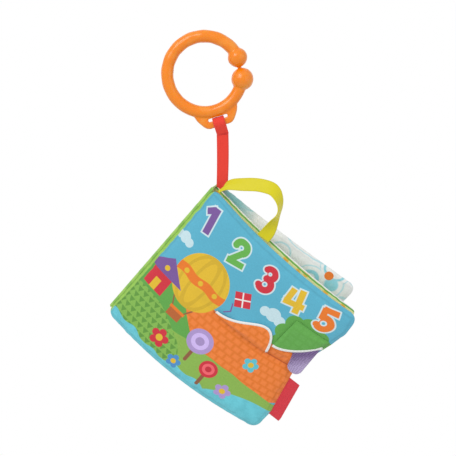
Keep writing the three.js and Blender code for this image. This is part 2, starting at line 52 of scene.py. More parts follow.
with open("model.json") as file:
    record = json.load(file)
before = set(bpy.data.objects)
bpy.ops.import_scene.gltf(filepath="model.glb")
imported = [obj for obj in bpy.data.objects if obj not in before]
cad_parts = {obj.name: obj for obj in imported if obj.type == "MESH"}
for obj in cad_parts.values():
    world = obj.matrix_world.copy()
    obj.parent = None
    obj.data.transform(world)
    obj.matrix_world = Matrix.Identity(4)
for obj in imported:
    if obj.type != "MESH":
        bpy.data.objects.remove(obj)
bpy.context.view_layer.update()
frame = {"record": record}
MM = 0.001
JOINTS = {joint["name"]: joint for joint in frame["record"]["behaviour"]["joints"]}


# The book's own frame, taken from its two cover hinges

HINGE_SIDE = 0.1
HINGE_HALF_HEIGHT = 61.0
BOOK_HEIGHT = 122.0
SPINE_HALF_DEPTH = 8.0


def book_frame():
    """The turn and the place of the book's frame, in the world and in metres."""
    front, rear = JOINTS["front_cover_hinge"], JOINTS["rear_cover_hinge"]
    up = Vector(rear["axis"]).normalized()
    back = (Vector(rear["pos_m"]) - Vector(front["pos_m"])).normalized()
    along = back.cross(up).normalized()
    middle = (Vector(rear["pos_m"]) + Vector(front["pos_m"])) / 2
    origin = middle + along * HINGE_SIDE * MM + up * HINGE_HALF_HEIGHT * MM
    turn = np.array([list(along), list(back), list(up)]).T
    return turn, np.array(list(origin))


BOOK_TURN, BOOK_PLACE = book_frame()


def to_world(points):
    """Book millimetres to world metres."""
    return np.asarray(points, dtype=float) @ BOOK_TURN.T * MM + BOOK_PLACE


def to_book(points):
    """World metres to book millimetres."""
    return (np.asarray(points, dtype=float) - BOOK_PLACE) @ BOOK_TURN / MM


# Sizes that a user would change

def measure(name, text, value):
    """A size property, with its default given in millimetres."""
    return bpy.props.FloatProperty(name=name, description=text, default=value * MM, unit="LENGTH")


class BookSizes(bpy.types.PropertyGroup):
    """Sizes of the cloth's mesh, its quilting and the ring's waves."""
    grid_step: measure("Grid step", "Spacing of the quilted cloth's mesh", 2.1)
    edge_pucker: measure("Edge pucker", "Depth of the gathers beside a seam", 0.85)
    fold_depth: measure("Fold depth", "Depth of the soft folds in a panel", 0.9)
    crease_depth: measure("Crease depth", "Depth of the fold across the front cover", 1.6)
    ring_ripple: measure("Ring ripple", "Height of the ring's moulded waves", 0.08)


def colour(name, text, value):
    """A colour property with its default in linear light."""
    return bpy.props.FloatVectorProperty(
        name=name, description=text, default=value, size=3, min=0.0, max=1.0, subtype="COLOR")


class BookColours(bpy.types.PropertyGroup):
    """Colours of the prints, the trims and the ring."""
    ring: colour("Ring", "Orange plastic of the ring", (0.96, 0.28, 0.004))
    strap: colour("Strap", "Red webbing", (1.0, 0.055, 0.028))
    sky: colour("Sky", "Ground of the front cover", (0.095, 0.425, 0.585))
    leaf_green: colour("Leaf green", "Darker green of the prints", (0.12, 0.40, 0.07))
    lime: colour("Lime", "Lighter green of the prints and the spine", (0.33, 0.60, 0.10))
    yellow: colour("Yellow", "Yellow of the prints", (0.80, 0.52, 0.03))
    orange: colour("Orange", "Orange of the prints and the lift flap", (0.86, 0.205, 0.020))
    red: colour("Red", "Red of the prints and the label", (0.66, 0.03, 0.05))
    purple: colour("Purple", "Purple of the prints", (0.20, 0.10, 0.34))
    lilac: colour("Lilac", "Pale lilac of the pull tab", (0.45, 0.33, 0.66))
    aqua: colour("Aqua", "Aqua of the waves", (0.12, 0.58, 0.68))
    white: colour("White", "Plain cloth and outlines", (0.86, 0.88, 0.86))
    ribbon: colour("Ribbon", "Yellow satin", (0.74, 0.66, 0.008))


# Shader maths: a socket that adds its own nodes

class Field:
    """A number or a vector that varies over a surface."""

    def __init__(self, finish, socket):
        self.finish = finish
        self.socket = socket

    def number(self, operation, other=None, third=None, clamp=False):
        values = [value for value in (self, other, third) if value is not None]
        settings = {"operation": operation, "use_clamp": clamp}
        return self.finish.node("ShaderNodeMath", settings, dict(enumerate(values)))

    def vector(self, operation, other=None, output=0):
        values = [value for value in (self, other) if value is not None]
        settings = {"operation": operation}
        return self.finish.node("ShaderNodeVectorMath", settings, dict(enumerate(values)), output)

    def __add__(self, other):
        return self.number("ADD", other)

    def __radd__(self, other):
        return self.number("ADD", other)

    def __sub__(self, other):
        return self.number("SUBTRACT", other)

    def __rsub__(self, other):
        return self.finish.node("ShaderNodeMath", {"operation": "SUBTRACT"}, {0: other, 1: self})

    def __mul__(self, other):
        return self.number("MULTIPLY", other)

    def __rmul__(self, other):
        return self.number("MULTIPLY", other)

    def __abs__(self):
        return self.number("ABSOLUTE")

    def least(self, other):
        return self.number("MINIMUM", other)

    def most(self, other):
        return self.number("MAXIMUM", other)

    def clamped(self):
        """The value kept between nothing and one."""
        return self.number("MULTIPLY", 1.0, clamp=True)

    def wave(self):
        return self.number("SINE")

    def ribs(self, period):
        """Soft ribs from nothing to one, a period apart."""
        return (self * (math.tau / period)).wave() * 0.5 + 0.5

    def repeat(self, period):
        """The value folded into one period, from nothing to the period."""
        return self.number("WRAP", period, 0.0)

    def bands(self, period, half_width):
        """The signed distance to a band in the middle of each period."""
        return abs(self.repeat(period) - period / 2) - half_width

    def ink(self, softness=0.3):
        """One inside a shape, nothing outside, from its signed distance."""
        return self.number("MULTIPLY_ADD", -1.0 / softness, 0.5, clamp=True)

    def distance_to(self, x, y):
        """How far a flat spot is from a place."""
        return self.vector("DISTANCE", (x, y, 0.0), output=1)

    def along(self, x, y):
        """How far along a flat direction a spot lies."""
        return self.vector("DOT_PRODUCT", (x, y, 0.0), output=1)


class Finish:
    """One material, with the nodes that its pattern and its surface need."""

    def __init__(self, name, roughness=0.8, sheen=0.0, coat=0.0):
        self.material = bpy.data.materials.new(name)
        self.material.use_nodes = True
        self.tree = self.material.node_tree
        self.surface = self.tree.nodes["Principled BSDF"]
        self.surface.inputs["Roughness"].default_value = roughness
        self.surface.inputs["Sheen Weight"].default_value = sheen
        self.surface.inputs["Sheen Roughness"].default_value = 0.5
        self.surface.inputs["Coat Weight"].default_value = coat
        self.surface.inputs["Coat Roughness"].default_value = 0.12

    def node(self, kind, settings=None, inputs=None, output=0):
        """Adds a node, sets it up, fills or links its sockets and gives one output back."""
        made = self.tree.nodes.new(kind)
        for key, value in (settings or {}).items():
            setattr(made, key, value)
        for key, value in (inputs or {}).items():
            if isinstance(value, Field):
                self.tree.links.new(value.socket, made.inputs[key])
            else:
                made.inputs[key].default_value = value
        return Field(self, made.outputs[output])

    def place(self, kind="UV"):
        """Flat cloth coordinates or the object's own, in millimetres."""
        spot = self.node("ShaderNodeTexCoord", output={"UV": 2, "Object": 3}[kind])
        return spot.vector("MULTIPLY", (1 / MM, 1 / MM, 1 / MM))

    def split(self, spot):
        """The two flat coordinates of a spot."""
        return spot.along(1.0, 0.0), spot.along(0.0, 1.0)

    def noise(self, spot, scale, detail=2.0, roughness=0.5):
        return self.node("ShaderNodeTexNoise", {}, {
            "Vector": spot, "Scale": scale, "Detail": detail, "Roughness": roughness})

    def cells(self, spot, scale, randomness):
        """The distance to the middle of the nearest of many loose cells."""
        return self.node("ShaderNodeTexVoronoi", {"feature": "F1"}, {
            "Vector": spot, "Scale": scale, "Randomness": randomness})

    def mix(self, share, below, above):
        """Colour below where share is nothing, above where it is one."""
        def whole(shade):
            return shade if isinstance(shade, Field) else (*shade, 1.0)
        return self.node("ShaderNodeMix", {"data_type": "RGBA"}, {
            0: share, 6: whole(below), 7: whole(above)}, 2)

    def colour(self, shade):
        self.tree.links.new(shade.socket, self.surface.inputs["Base Color"])

    def rough(self, value):
        self.tree.links.new(value.socket, self.surface.inputs["Roughness"])

    def bump(self, height, depth):
        """Bumps of a height field from nothing to one, with a depth in millimetres."""
        relief = self.node("ShaderNodeBump", {}, {"Distance": depth * MM, "Height": height})
        self.tree.links.new(relief.socket, self.surface.inputs["Normal"])

    def fleece(self, spot, shade):
        """Short brushed pile: a fine fuzzy bump and a faint speckle over the given colour."""
        speckle, depth = 0.10, 0.10
        fuzz = self.noise(spot, 2.6, 4.0, 0.7)
        pile = self.noise(spot, 0.75, 2.0, 0.6)
        broad = self.noise(spot, 0.05, 2.0, 0.5)
        shift = (fuzz - 0.5) * speckle + (pile - 0.5) * (speckle * 1.6) + (broad - 0.5) * speckle
        light = self.node("ShaderNodeHueSaturation", {}, {"Color": shade, "Value": shift + 1.0})
        self.colour(light)
        self.bump(fuzz + pile * 1.5, depth)


# Flat shapes as signed distances, in millimetres of the flat cloth

def disc(spot, x, y, radius):
    """A round shape round a centre."""
    return spot.distance_to(x, y) - radius


def oval(spot, x, y, half_width, half_height):
    """An upright oval round a centre, with a distance that is about right near its edge."""
    shifted = spot.vector("SUBTRACT", (x, y, 0.0)).vector("DIVIDE", (half_width, half_height, 1.0))
    return (shifted.vector("LENGTH", output=1) - 1.0) * min(half_width, half_height)


def bar(spot, x0, y0, x1, y1, radius):
    """A line with round ends."""
    run = (x1 - x0, y1 - y0)
    square = run[0] ** 2 + run[1] ** 2
    shifted = spot.vector("SUBTRACT", (x0, y0, 0.0))
    share = shifted.along(run[0] / square, run[1] / square).clamped()
    nearest = share.finish.node("ShaderNodeVectorMath", {"operation": "SCALE"}, {0: (*run, 0.0), 3: share})
    return shifted.vector("DISTANCE", nearest, output=1) - radius


def block(spot, x, y, half_width, half_height, lean=0.0):
    """A box turned by an angle in degrees."""
    turn = math.radians(lean)
    shifted = spot.vector("SUBTRACT", (x, y, 0.0))
    across = abs(shifted.along(math.cos(turn), math.sin(turn))) - half_width
    upward = abs(shifted.along(-math.sin(turn), math.cos(turn))) - half_height
    return across.most(upward)


def side(spot, x, y, facing):
    """Negative on the far side of a straight edge through a point, from where it faces."""
    turn = math.radians(facing)
    normal = (math.cos(turn), math.sin(turn))
    return spot.along(*normal) - (x * normal[0] + y * normal[1])


def bow(spot, x, y, radius, half_width, facing, sweep):
    """Part of a ring round a centre: the part that faces an angle, with round ends."""
    half, turn = math.radians(sweep / 2), math.radians(facing)
    chord = radius * math.cos(half)
    ring = abs(disc(spot, x, y, radius)) - half_width
    piece = ring.most(side(spot, x + chord * math.cos(turn), y + chord * math.sin(turn), facing + 180.0))
    for way in (-1, 1):
        end = turn + way * half
        piece = piece.least(disc(spot, x + radius * math.cos(end), y + radius * math.sin(end), half_width))
    return piece


def pile_up(shapes):
    """The union of several shapes."""
    whole = shapes[0]
    for shape in shapes[1:]:
        whole = whole.least(shape)
    return whole


# The padded panels, mapped from their flat cloths

# How much longer a panel's lower edge and shorter its upper edge is than its width, and how far the lower one
# climbs from the spine to the fore edge
TAPER = 1.85
BOTTOM_RISE = 11.2
# Half the thickness at the seam, the width of its round lip, how far in the quilting comes to its full
# height, and how square the quilting's corners are
SEAM_HALF = 1.05
LIP = 1.4
PILLOW_RISE = 16.0
CORNER_POWER = 5.0
# Shares of the way up the fore edge, with the share of the notch that it is drawn in by there, and the share
# of the width at which that begins
FORE_EDGE = ((0.0, 0.0), (0.16, 0.0), (0.49, 1.0), (0.76, 0.05), (0.87, -0.2), (1.0, 0.0))
FORE_EDGE_REACH = 0.7
# How much more a panel's lower edge sags in its middle than its upper edge, as a share
LOWER_FALL = 0.6


def ease(value, low, high):
    """A smooth rise from nothing at low to one at high."""
    share = np.clip((value - low) / (high - low), 0.0, 1.0)
    return share * share * (3.0 - 2.0 * share)


class Panel:
    """One padded panel of the book: its sizes, and where the places of its flat cloth lie in the book."""

    def __init__(self, width, start, depth, top_rise, sag, bow_depth, fan, crown, notch, radius):
        self.width, self.start, self.depth = width, start, depth
        self.top_rise, self.sag, self.bow_depth, self.fan = top_rise, sag, bow_depth, fan
        self.crown, self.notch, self.radius = crown, notch, radius
        self.height = BOOK_HEIGHT

    def at(self, across, up, outset=0.0):
        """Book millimetres of flat places, moved towards the rear by an outset."""
        across, up = np.broadcast_arrays(np.asarray(across, float), np.asarray(up, float))
        p, q = across / self.width, up / self.height
        inside = np.clip(p, 0.0, 1.0)
        middle = 4.0 * inside * (1.0 - inside)
        notch = self.notch * np.interp(q, *zip(*FORE_EDGE)) * ease(p, FORE_EDGE_REACH, 1.0)
        x = self.start + p * (self.width + TAPER + q * (-2 * TAPER)) - notch
        z = p * (BOTTOM_RISE + q * (self.top_rise - BOTTOM_RISE)) - BOOK_HEIGHT * (1.0 - q)
        z -= self.sag * middle * (1.0 + LOWER_FALL * (1.0 - q) ** 3)
        y = self.depth + self.fan * p - self.bow_depth * middle + outset
        return np.stack([x, y, z], axis=-1)

    def rest(self, across, up):
        """One at the seam, falling to nothing where the quilting is full."""
        near_x = np.clip(1.0 - np.minimum(across, self.width - across) / PILLOW_RISE, 0.0, 1.0)
        near_z = np.clip(1.0 - np.minimum(up, self.height - up) / PILLOW_RISE, 0.0, 1.0)
        return np.minimum((near_x ** CORNER_POWER + near_z ** CORNER_POWER) ** (1.0 / CORNER_POWER), 1.0)

    def swell(self, across, up):
        """Half of the panel's thickness."""
        rest = self.rest(across, up)
        inset = PILLOW_RISE * (1.0 - rest)
        lip = np.clip(1.0 - inset / LIP, 0.0, 1.0)
        return self.crown * np.sqrt(1.0 - rest ** 2) + SEAM_HALF * np.sqrt(1.0 - lip ** 2)

    def over(self, across, up, distance):
        """A place in front of the panel's front face."""
        across, up = np.asarray(across, float), np.asarray(up, float)
        rest = self.rest(across, up)
        return self.at(across, up, -(SEAM_HALF + self.crown * np.sqrt(1.0 - rest ** 2) + distance))


COVER = Panel(width=132.3, start=0.5, depth=-SPINE_HALF_DEPTH, top_rise=0.5, sag=3.2, bow_depth=5.0, fan=0.0,
              crown=2.9, notch=8.0, radius=7.0)
LEAF = Panel(width=130.85, start=-0.5, depth=0.0, top_rise=0.2, sag=1.2, bow_depth=5.0, fan=0.0,
             crown=2.3, notch=4.5, radius=4.0)
REAR = Panel(width=121.3, start=0.5, depth=SPINE_HALF_DEPTH, top_rise=7.5, sag=0.0, bow_depth=3.5, fan=14.0,
             crown=3.3, notch=0.0, radius=7.0)


# Mesh helpers

def add_object(name, data):
    """A new object in the scene."""
    made = bpy.data.objects.new(name, data)
    bpy.context.scene.collection.objects.link(made)
    return made


def shade_smooth(made):
    """Shades all faces smooth."""
    made.data.polygons.foreach_set("use_smooth", [True] * len(made.data.polygons))


def mesh_points(made):
    """A mesh's points as rows, in metres."""
    points = np.empty(len(made.data.vertices) * 3)
    made.data.vertices.foreach_get("co", points)
    return points.reshape(-1, 3)


def move_points(made, points):
    """Moves a mesh's points to new places."""
    made.data.vertices.foreach_set("co", np.asarray(points, float).ravel())
    made.data.update()


def mesh_object(name, points, faces, flat):
    """A mesh object from world points, with the flat cloth coordinates as its UV map."""
    mesh = bpy.data.meshes.new(name)
    mesh.from_pydata([tuple(point) for point in points], [], [tuple(face) for face in faces])
    layer = mesh.uv_layers.new(name="flat")
    corners = np.empty(len(mesh.loops), dtype=np.int64)
    mesh.loops.foreach_get("vertex_index", corners)
    layer.data.foreach_set("uv", (np.asarray(flat, float)[corners] * MM).ravel())
    made = add_object(name, mesh)
    shade_smooth(made)
    mesh.update()
    return made


def bmesh_object(name, build):
    """An object from a bmesh that a function fills."""
    work = bmesh.new()
    build(work)
    mesh = bpy.data.meshes.new(name)
    work.to_mesh(mesh)
    work.free()
    return add_object(name, mesh)


def face_out(made):
    """Turns a closed mesh's faces outwards."""
    work = bmesh.new()
    work.from_mesh(made.data)
    bmesh.ops.recalc_face_normals(work, faces=work.faces)
    if work.calc_volume(signed=True) < 0:
        bmesh.ops.reverse_faces(work, faces=work.faces)
    work.to_mesh(made.data)
    work.free()
    return made


def finish_with(made, *names):
    """Gives a piece its finishes, in the order of its material slots."""
    for name in names:
        made.data.materials.append(finish(name))


def join(name, parts):
    """One object from several meshes, with their materials and UV maps."""
    bpy.ops.object.select_all(action="DESELECT")
    for part in parts:
        part.select_set(True)
    bpy.context.view_layer.objects.active = parts[0]
    bpy.ops.object.join()
    parts[0].name = name
    return parts[0]


def apply_modifiers(made):
    """Bakes the object's modifiers into its mesh."""
    evaluated = made.evaluated_get(bpy.context.evaluated_depsgraph_get())
    mesh = bpy.data.meshes.new_from_object(evaluated)
    made.modifiers.clear()
    made.data = mesh
    return made


def refine(made, levels):
    """Smooths a mesh with subdivision."""
    rounder = made.modifiers.new("rounder", "SUBSURF")
    rounder.levels = rounder.render_levels = levels
    return apply_modifiers(made)


def grid_faces(rows, columns, start=0, flip=False):
    """Quads of a grid whose points run along its rows."""
    index = start + np.arange(rows * columns).reshape(rows, columns)
    quads = np.stack([index[:-1, :-1], index[:-1, 1:], index[1:, 1:], index[1:, :-1]], axis=-1)
    quads = quads.reshape(-1, 4)
    return quads[:, ::-1] if flip else quads


def slab(name, front, back, flat):
    """A closed sheet between two grids of world points, with a rim round its edge."""
    rows, columns = front.shape[:2]
    count = rows * columns
    points = np.concatenate([front.reshape(-1, 3), back.reshape(-1, 3)])
    index = np.arange(count).reshape(rows, columns)
    rim = np.concatenate([index[0, :-1], index[:-1, -1], index[-1, :0:-1], index[:0:-1, 0]])
    following = np.roll(rim, -1)
    walls = np.stack([rim, rim + count, following + count, following], axis=-1)
    faces = np.concatenate([grid_faces(rows, columns), grid_faces(rows, columns, count, True), walls])
    spread = np.concatenate([flat.reshape(-1, 2), flat.reshape(-1, 2)])
    return face_out(mesh_object(name, points, faces, spread))


def lengths_along(path):
    """How far along a path each of its points lies."""
    return np.concatenate([[0.0], np.cumsum(np.linalg.norm(np.diff(path, axis=0), axis=1))])


def line_rear(made, grid):
    """Gives a slab's second grid of faces, made from a grid of points, the second finish."""
    count = (grid[0] - 1) * (grid[1] - 1)
    walls = len(made.data.polygons) - 2 * count
    made.data.polygons.foreach_set("material_index", [0] * count + [1] * count + [0] * walls)


def sweep(name, centres, across, out, section, flat_start=0.0):
    """A closed band: section points (across, out) carried along a path, with capped ends."""
    centres, across, out = (np.asarray(values, float) for values in (centres, across, out))
    section = np.asarray(section, float)
    if section.ndim == 2:
        section = np.repeat(section[None], len(centres), axis=0)
    rings = centres[:, None] + section[..., 0:1] * across[:, None] + section[..., 1:2] * out[:, None]
    count, sides = section.shape[:2]
    length = flat_start + lengths_along(centres) / MM
    flat = np.stack([section[..., 0] / MM, np.repeat(length[:, None], sides, axis=1)], axis=-1).reshape(-1, 2)
    faces = []
    for low in range(0, (count - 1) * sides, sides):
        for step in range(sides):
            after = (step + 1) % sides
            faces.append((low + step, low + after, low + sides + after, low + sides + step))
    faces.append(tuple(range(sides)))
    faces.append(tuple(reversed(range((count - 1) * sides, count * sides))))
    return face_out(mesh_object(name, rings.reshape(-1, 3), faces, flat))


def tape_section(width, thickness, steps=6):
    """The outline of a flat tape with softened edges, in metres."""
    half, thick = width / 2 * MM, thickness / 2 * MM
    lanes = np.linspace(-1.0, 1.0, steps + 1) * (half - thick * 0.6)
    front = [(lane, thick) for lane in lanes]
    back = [(lane, -thick) for lane in lanes[::-1]]
    return front + [(half, 0.0)] + back + [(-half, 0.0)]


def smooth_path(points, count):
    """A rounded path of equal steps through given points."""
    points = np.asarray(points, float)
    padded = np.vstack([2 * points[0] - points[1], points, 2 * points[-1] - points[-2]])
    fine = []
    for place in range(1, len(padded) - 2):
        a, b, c, d = padded[place - 1:place + 3]
        for share in np.linspace(0.0, 1.0, 24, endpoint=False):
            fine.append(0.5 * (2 * b + (c - a) * share + (2 * a - 5 * b + 4 * c - d) * share ** 2
                               + (3 * b - a - 3 * c + d) * share ** 3))
    fine.append(points[-1])
    fine = np.asarray(fine)
    length = lengths_along(fine)
    even = np.linspace(0.0, length[-1], count)
    return np.stack([np.interp(even, length, fine[:, axis]) for axis in range(fine.shape[1])], axis=-1)


def unit(vectors):
    """The same directions with a length of one."""
    vectors = np.asarray(vectors, float)
    return vectors / np.linalg.norm(vectors, axis=-1, keepdims=True)


def tangents(path):
    """The direction of a path at each of its points."""
    return unit(np.gradient(np.asarray(path, float), axis=0))


def repeated(way, count):
    """The same direction for each point of a path."""
    return np.repeat([list(way)], count, axis=0)


# Stitches: thread instances along a path, made with Geometry Nodes

def stitch_tree():
    """Lays one thread stitch at every step of a path of edges."""
    tree = bpy.data.node_groups.new("thread_stitches", "GeometryNodeTree")
    sockets = {}
    for name, kind in (("Path", "Geometry"), ("Spacing", "Float"), ("Length", "Float"), ("Radius", "Float"),
                       ("Lean", "Float"), ("Thread", "Material")):
        sockets[name] = tree.interface.new_socket(name, in_out="INPUT", socket_type="NodeSocket" + kind)
    tree.interface.new_socket("Stitches", in_out="OUTPUT", socket_type="NodeSocketGeometry")
    add, link = tree.nodes.new, tree.links.new
    start, end = add("NodeGroupInput"), add("NodeGroupOutput")
    curve = add("GeometryNodeMeshToCurve")
    link(start.outputs["Path"], curve.inputs["Mesh"])
    even = add("GeometryNodeCurveToPoints")
    even.mode = "LENGTH"
    link(curve.outputs["Curve"], even.inputs["Curve"])
    link(start.outputs["Spacing"], even.inputs["Length"])
    thread = add("GeometryNodeMeshUVSphere")
    thread.inputs["Segments"].default_value = 6
    thread.inputs["Rings"].default_value = 5
    thread.inputs["Radius"].default_value = 1.0
    scale = add("ShaderNodeCombineXYZ")
    half = add("ShaderNodeMath")
    half.operation = "DIVIDE"
    half.inputs[1].default_value = 2.0
    link(start.outputs["Length"], half.inputs[0])
    link(half.outputs[0], scale.inputs["X"])
    link(start.outputs["Radius"], scale.inputs["Y"])
    link(start.outputs["Radius"], scale.inputs["Z"])
    aim = add("FunctionNodeAlignRotationToVector")
    aim.axis = "X"
    link(even.outputs["Tangent"], aim.inputs["Vector"])
    lean = add("FunctionNodeRotateRotation")
    lean.rotation_space = "LOCAL"
    turn = add("FunctionNodeAxisAngleToRotation")
    turn.inputs["Axis"].default_value = (0.0, 0.0, 1.0)
    link(start.outputs["Lean"], turn.inputs["Angle"])
    link(aim.outputs["Rotation"], lean.inputs["Rotation"])
    link(turn.outputs["Rotation"], lean.inputs["Rotate By"])
    place = add("GeometryNodeInstanceOnPoints")
    link(even.outputs["Points"], place.inputs["Points"])
    link(thread.outputs["Mesh"], place.inputs["Instance"])
    link(lean.outputs["Rotation"], place.inputs["Rotation"])
    link(scale.outputs["Vector"], place.inputs["Scale"])
    real = add("GeometryNodeRealizeInstances")
    link(place.outputs["Instances"], real.inputs["Geometry"])
    dress = add("GeometryNodeSetMaterial")
    link(real.outputs["Geometry"], dress.inputs["Geometry"])
    link(start.outputs["Thread"], dress.inputs["Material"])
    link(dress.outputs["Geometry"], end.inputs["Stitches"])
    return tree, {name: socket.identifier for name, socket in sockets.items()}


STITCHES = {}


def stitch_row(name, path, thread, spacing=2.4, length=1.7, radius=0.16, lean=0.0):
    """A row of thread stitches along world points, with its sizes in millimetres and its lean in radians."""
    if not STITCHES:
        STITCHES["tree"], STITCHES["inputs"] = stitch_tree()
    mesh = bpy.data.meshes.new(name)
    edges = [(step, step + 1) for step in range(len(path) - 1)]
    mesh.from_pydata([tuple(point) for point in path], edges, [])
    made = add_object(name, mesh)
    maker = made.modifiers.new("stitches", "NODES")
    maker.node_group = STITCHES["tree"]
    values = {"Spacing": spacing * MM, "Length": length * MM, "Radius": radius * MM, "Lean": lean,
              "Thread": finish(thread)}
    for key, value in values.items():
        maker[STITCHES["inputs"][key]] = value
    apply_modifiers(made)
    shade_smooth(made)
    return made


# Quilted panels

# Places beside a seam that the quilted mesh keeps, in millimetres
SEAM_LANES = (0.0, 0.5, 1.4, 2.8)


def lanes(length, step):
    """Places across a panel, closer together beside its seams."""
    last = SEAM_LANES[-1]
    count = max(2, int(round((length - 2 * last) / step)))
    middle = list(np.linspace(last, length - last, count + 1))
    return np.array(list(SEAM_LANES[:-1]) + middle + [length - value for value in reversed(SEAM_LANES[:-1])])


def round_corners(across, up, panel):
    """Draws the square corners of a flat grid in to the panel's round corners."""
    half = np.array([panel.width / 2, panel.height / 2])
    offset = np.stack([across, up], axis=-1) - half
    sign, size = np.sign(offset), np.abs(offset)
    corner = (size - (half - panel.radius)) / panel.radius
    inside = (corner > 0).all(axis=-1)
    u, v = corner[..., 0], corner[..., 1]
    drawn = np.stack([u * np.sqrt(np.clip(1 - v * v / 2, 0, 1)), v * np.sqrt(np.clip(1 - u * u / 2, 0, 1))],
                     axis=-1)
    size = np.where(inside[..., None], (half - panel.radius) + drawn * panel.radius, size)
    placed = half + sign * size
    return placed[..., 0], placed[..., 1]


def ripple(places, size, seed):
    """Smooth noise at flat places, from minus one to one."""
    values = [noise.noise(Vector((spot[0] / size, spot[1] / size, seed)))
              for spot in places.reshape(-1, places.shape[-1])]
    return np.array(values).reshape(places.shape[:-1])


# The pads' cloth simulation runs on a copy this many times larger, where its settings suit
SWELL = {"scale": 10.0, "frames": 20, "quality": 6, "pressure": 3.0, "growth": 0.035, "mass": 0.25,
         "tension": 14.0, "bending": 0.08, "shift": 1.6, "full": 0.8}

# The gathers beside a seam: their size, how far in they lie and how wide they are. Then the soft folds'
# sizes, and how far in they begin and are deepest. A side may always swell to the least share of its
# thickness, and starts no thinner than the first least share.
QUILT = {"gather": 3.8, "gather_inset": 3.8, "gather_reach": 2.8, "fold": 24.0, "small_fold": 11.0,
         "fold_inset": 2.0, "fold_full": 14.0, "least": 0.3, "first_least": 0.25}

# A swollen pad keeps between the least share and one of its panel's thickness, drawn in softly past full,
# and counts as no thinner than thin, in millimetres. What lies deeper in a fold than the fold's is held.
HOLD = {"least": 0.12, "full": 0.75, "thin": 0.05, "fold": 0.45}


def swell_up(made, held):
    """Fills a sewn pad like a cushion; held is the share of each point that its seam keeps in place."""
    start = mesh_points(made)
    move_points(made, start * SWELL["scale"])
    group = made.vertex_groups.new(name="seam")
    for share in np.unique(held[held > 0]):
        group.add([int(point) for point in np.flatnonzero(held == share)], float(share), "REPLACE")
    cloth = made.modifiers.new("filling", "CLOTH")
    settings = cloth.settings
    settings.quality = SWELL["quality"]
    settings.mass = SWELL["mass"]
    settings.tension_stiffness = settings.compression_stiffness = SWELL["tension"]
    settings.bending_stiffness = SWELL["bending"]
    settings.vertex_group_mass = "seam"
    settings.use_pressure = True
    settings.uniform_pressure_force = SWELL["pressure"]
    settings.shrink_min = -SWELL["growth"]
    settings.effector_weights.gravity = 0.0
    cloth.collision_settings.use_collision = False
    for step in range(1, SWELL["frames"] + 1):
        bpy.context.scene.frame_set(step)
    apply_modifiers(made)
    bpy.context.scene.frame_set(1)
    made.vertex_groups.clear()
    move = mesh_points(made) / SWELL["scale"] - start
    length = np.linalg.norm(move, axis=1, keepdims=True)
    move_points(made, start + move * np.minimum(1.0, SWELL["shift"] * MM / np.maximum(length, MM * MM)))


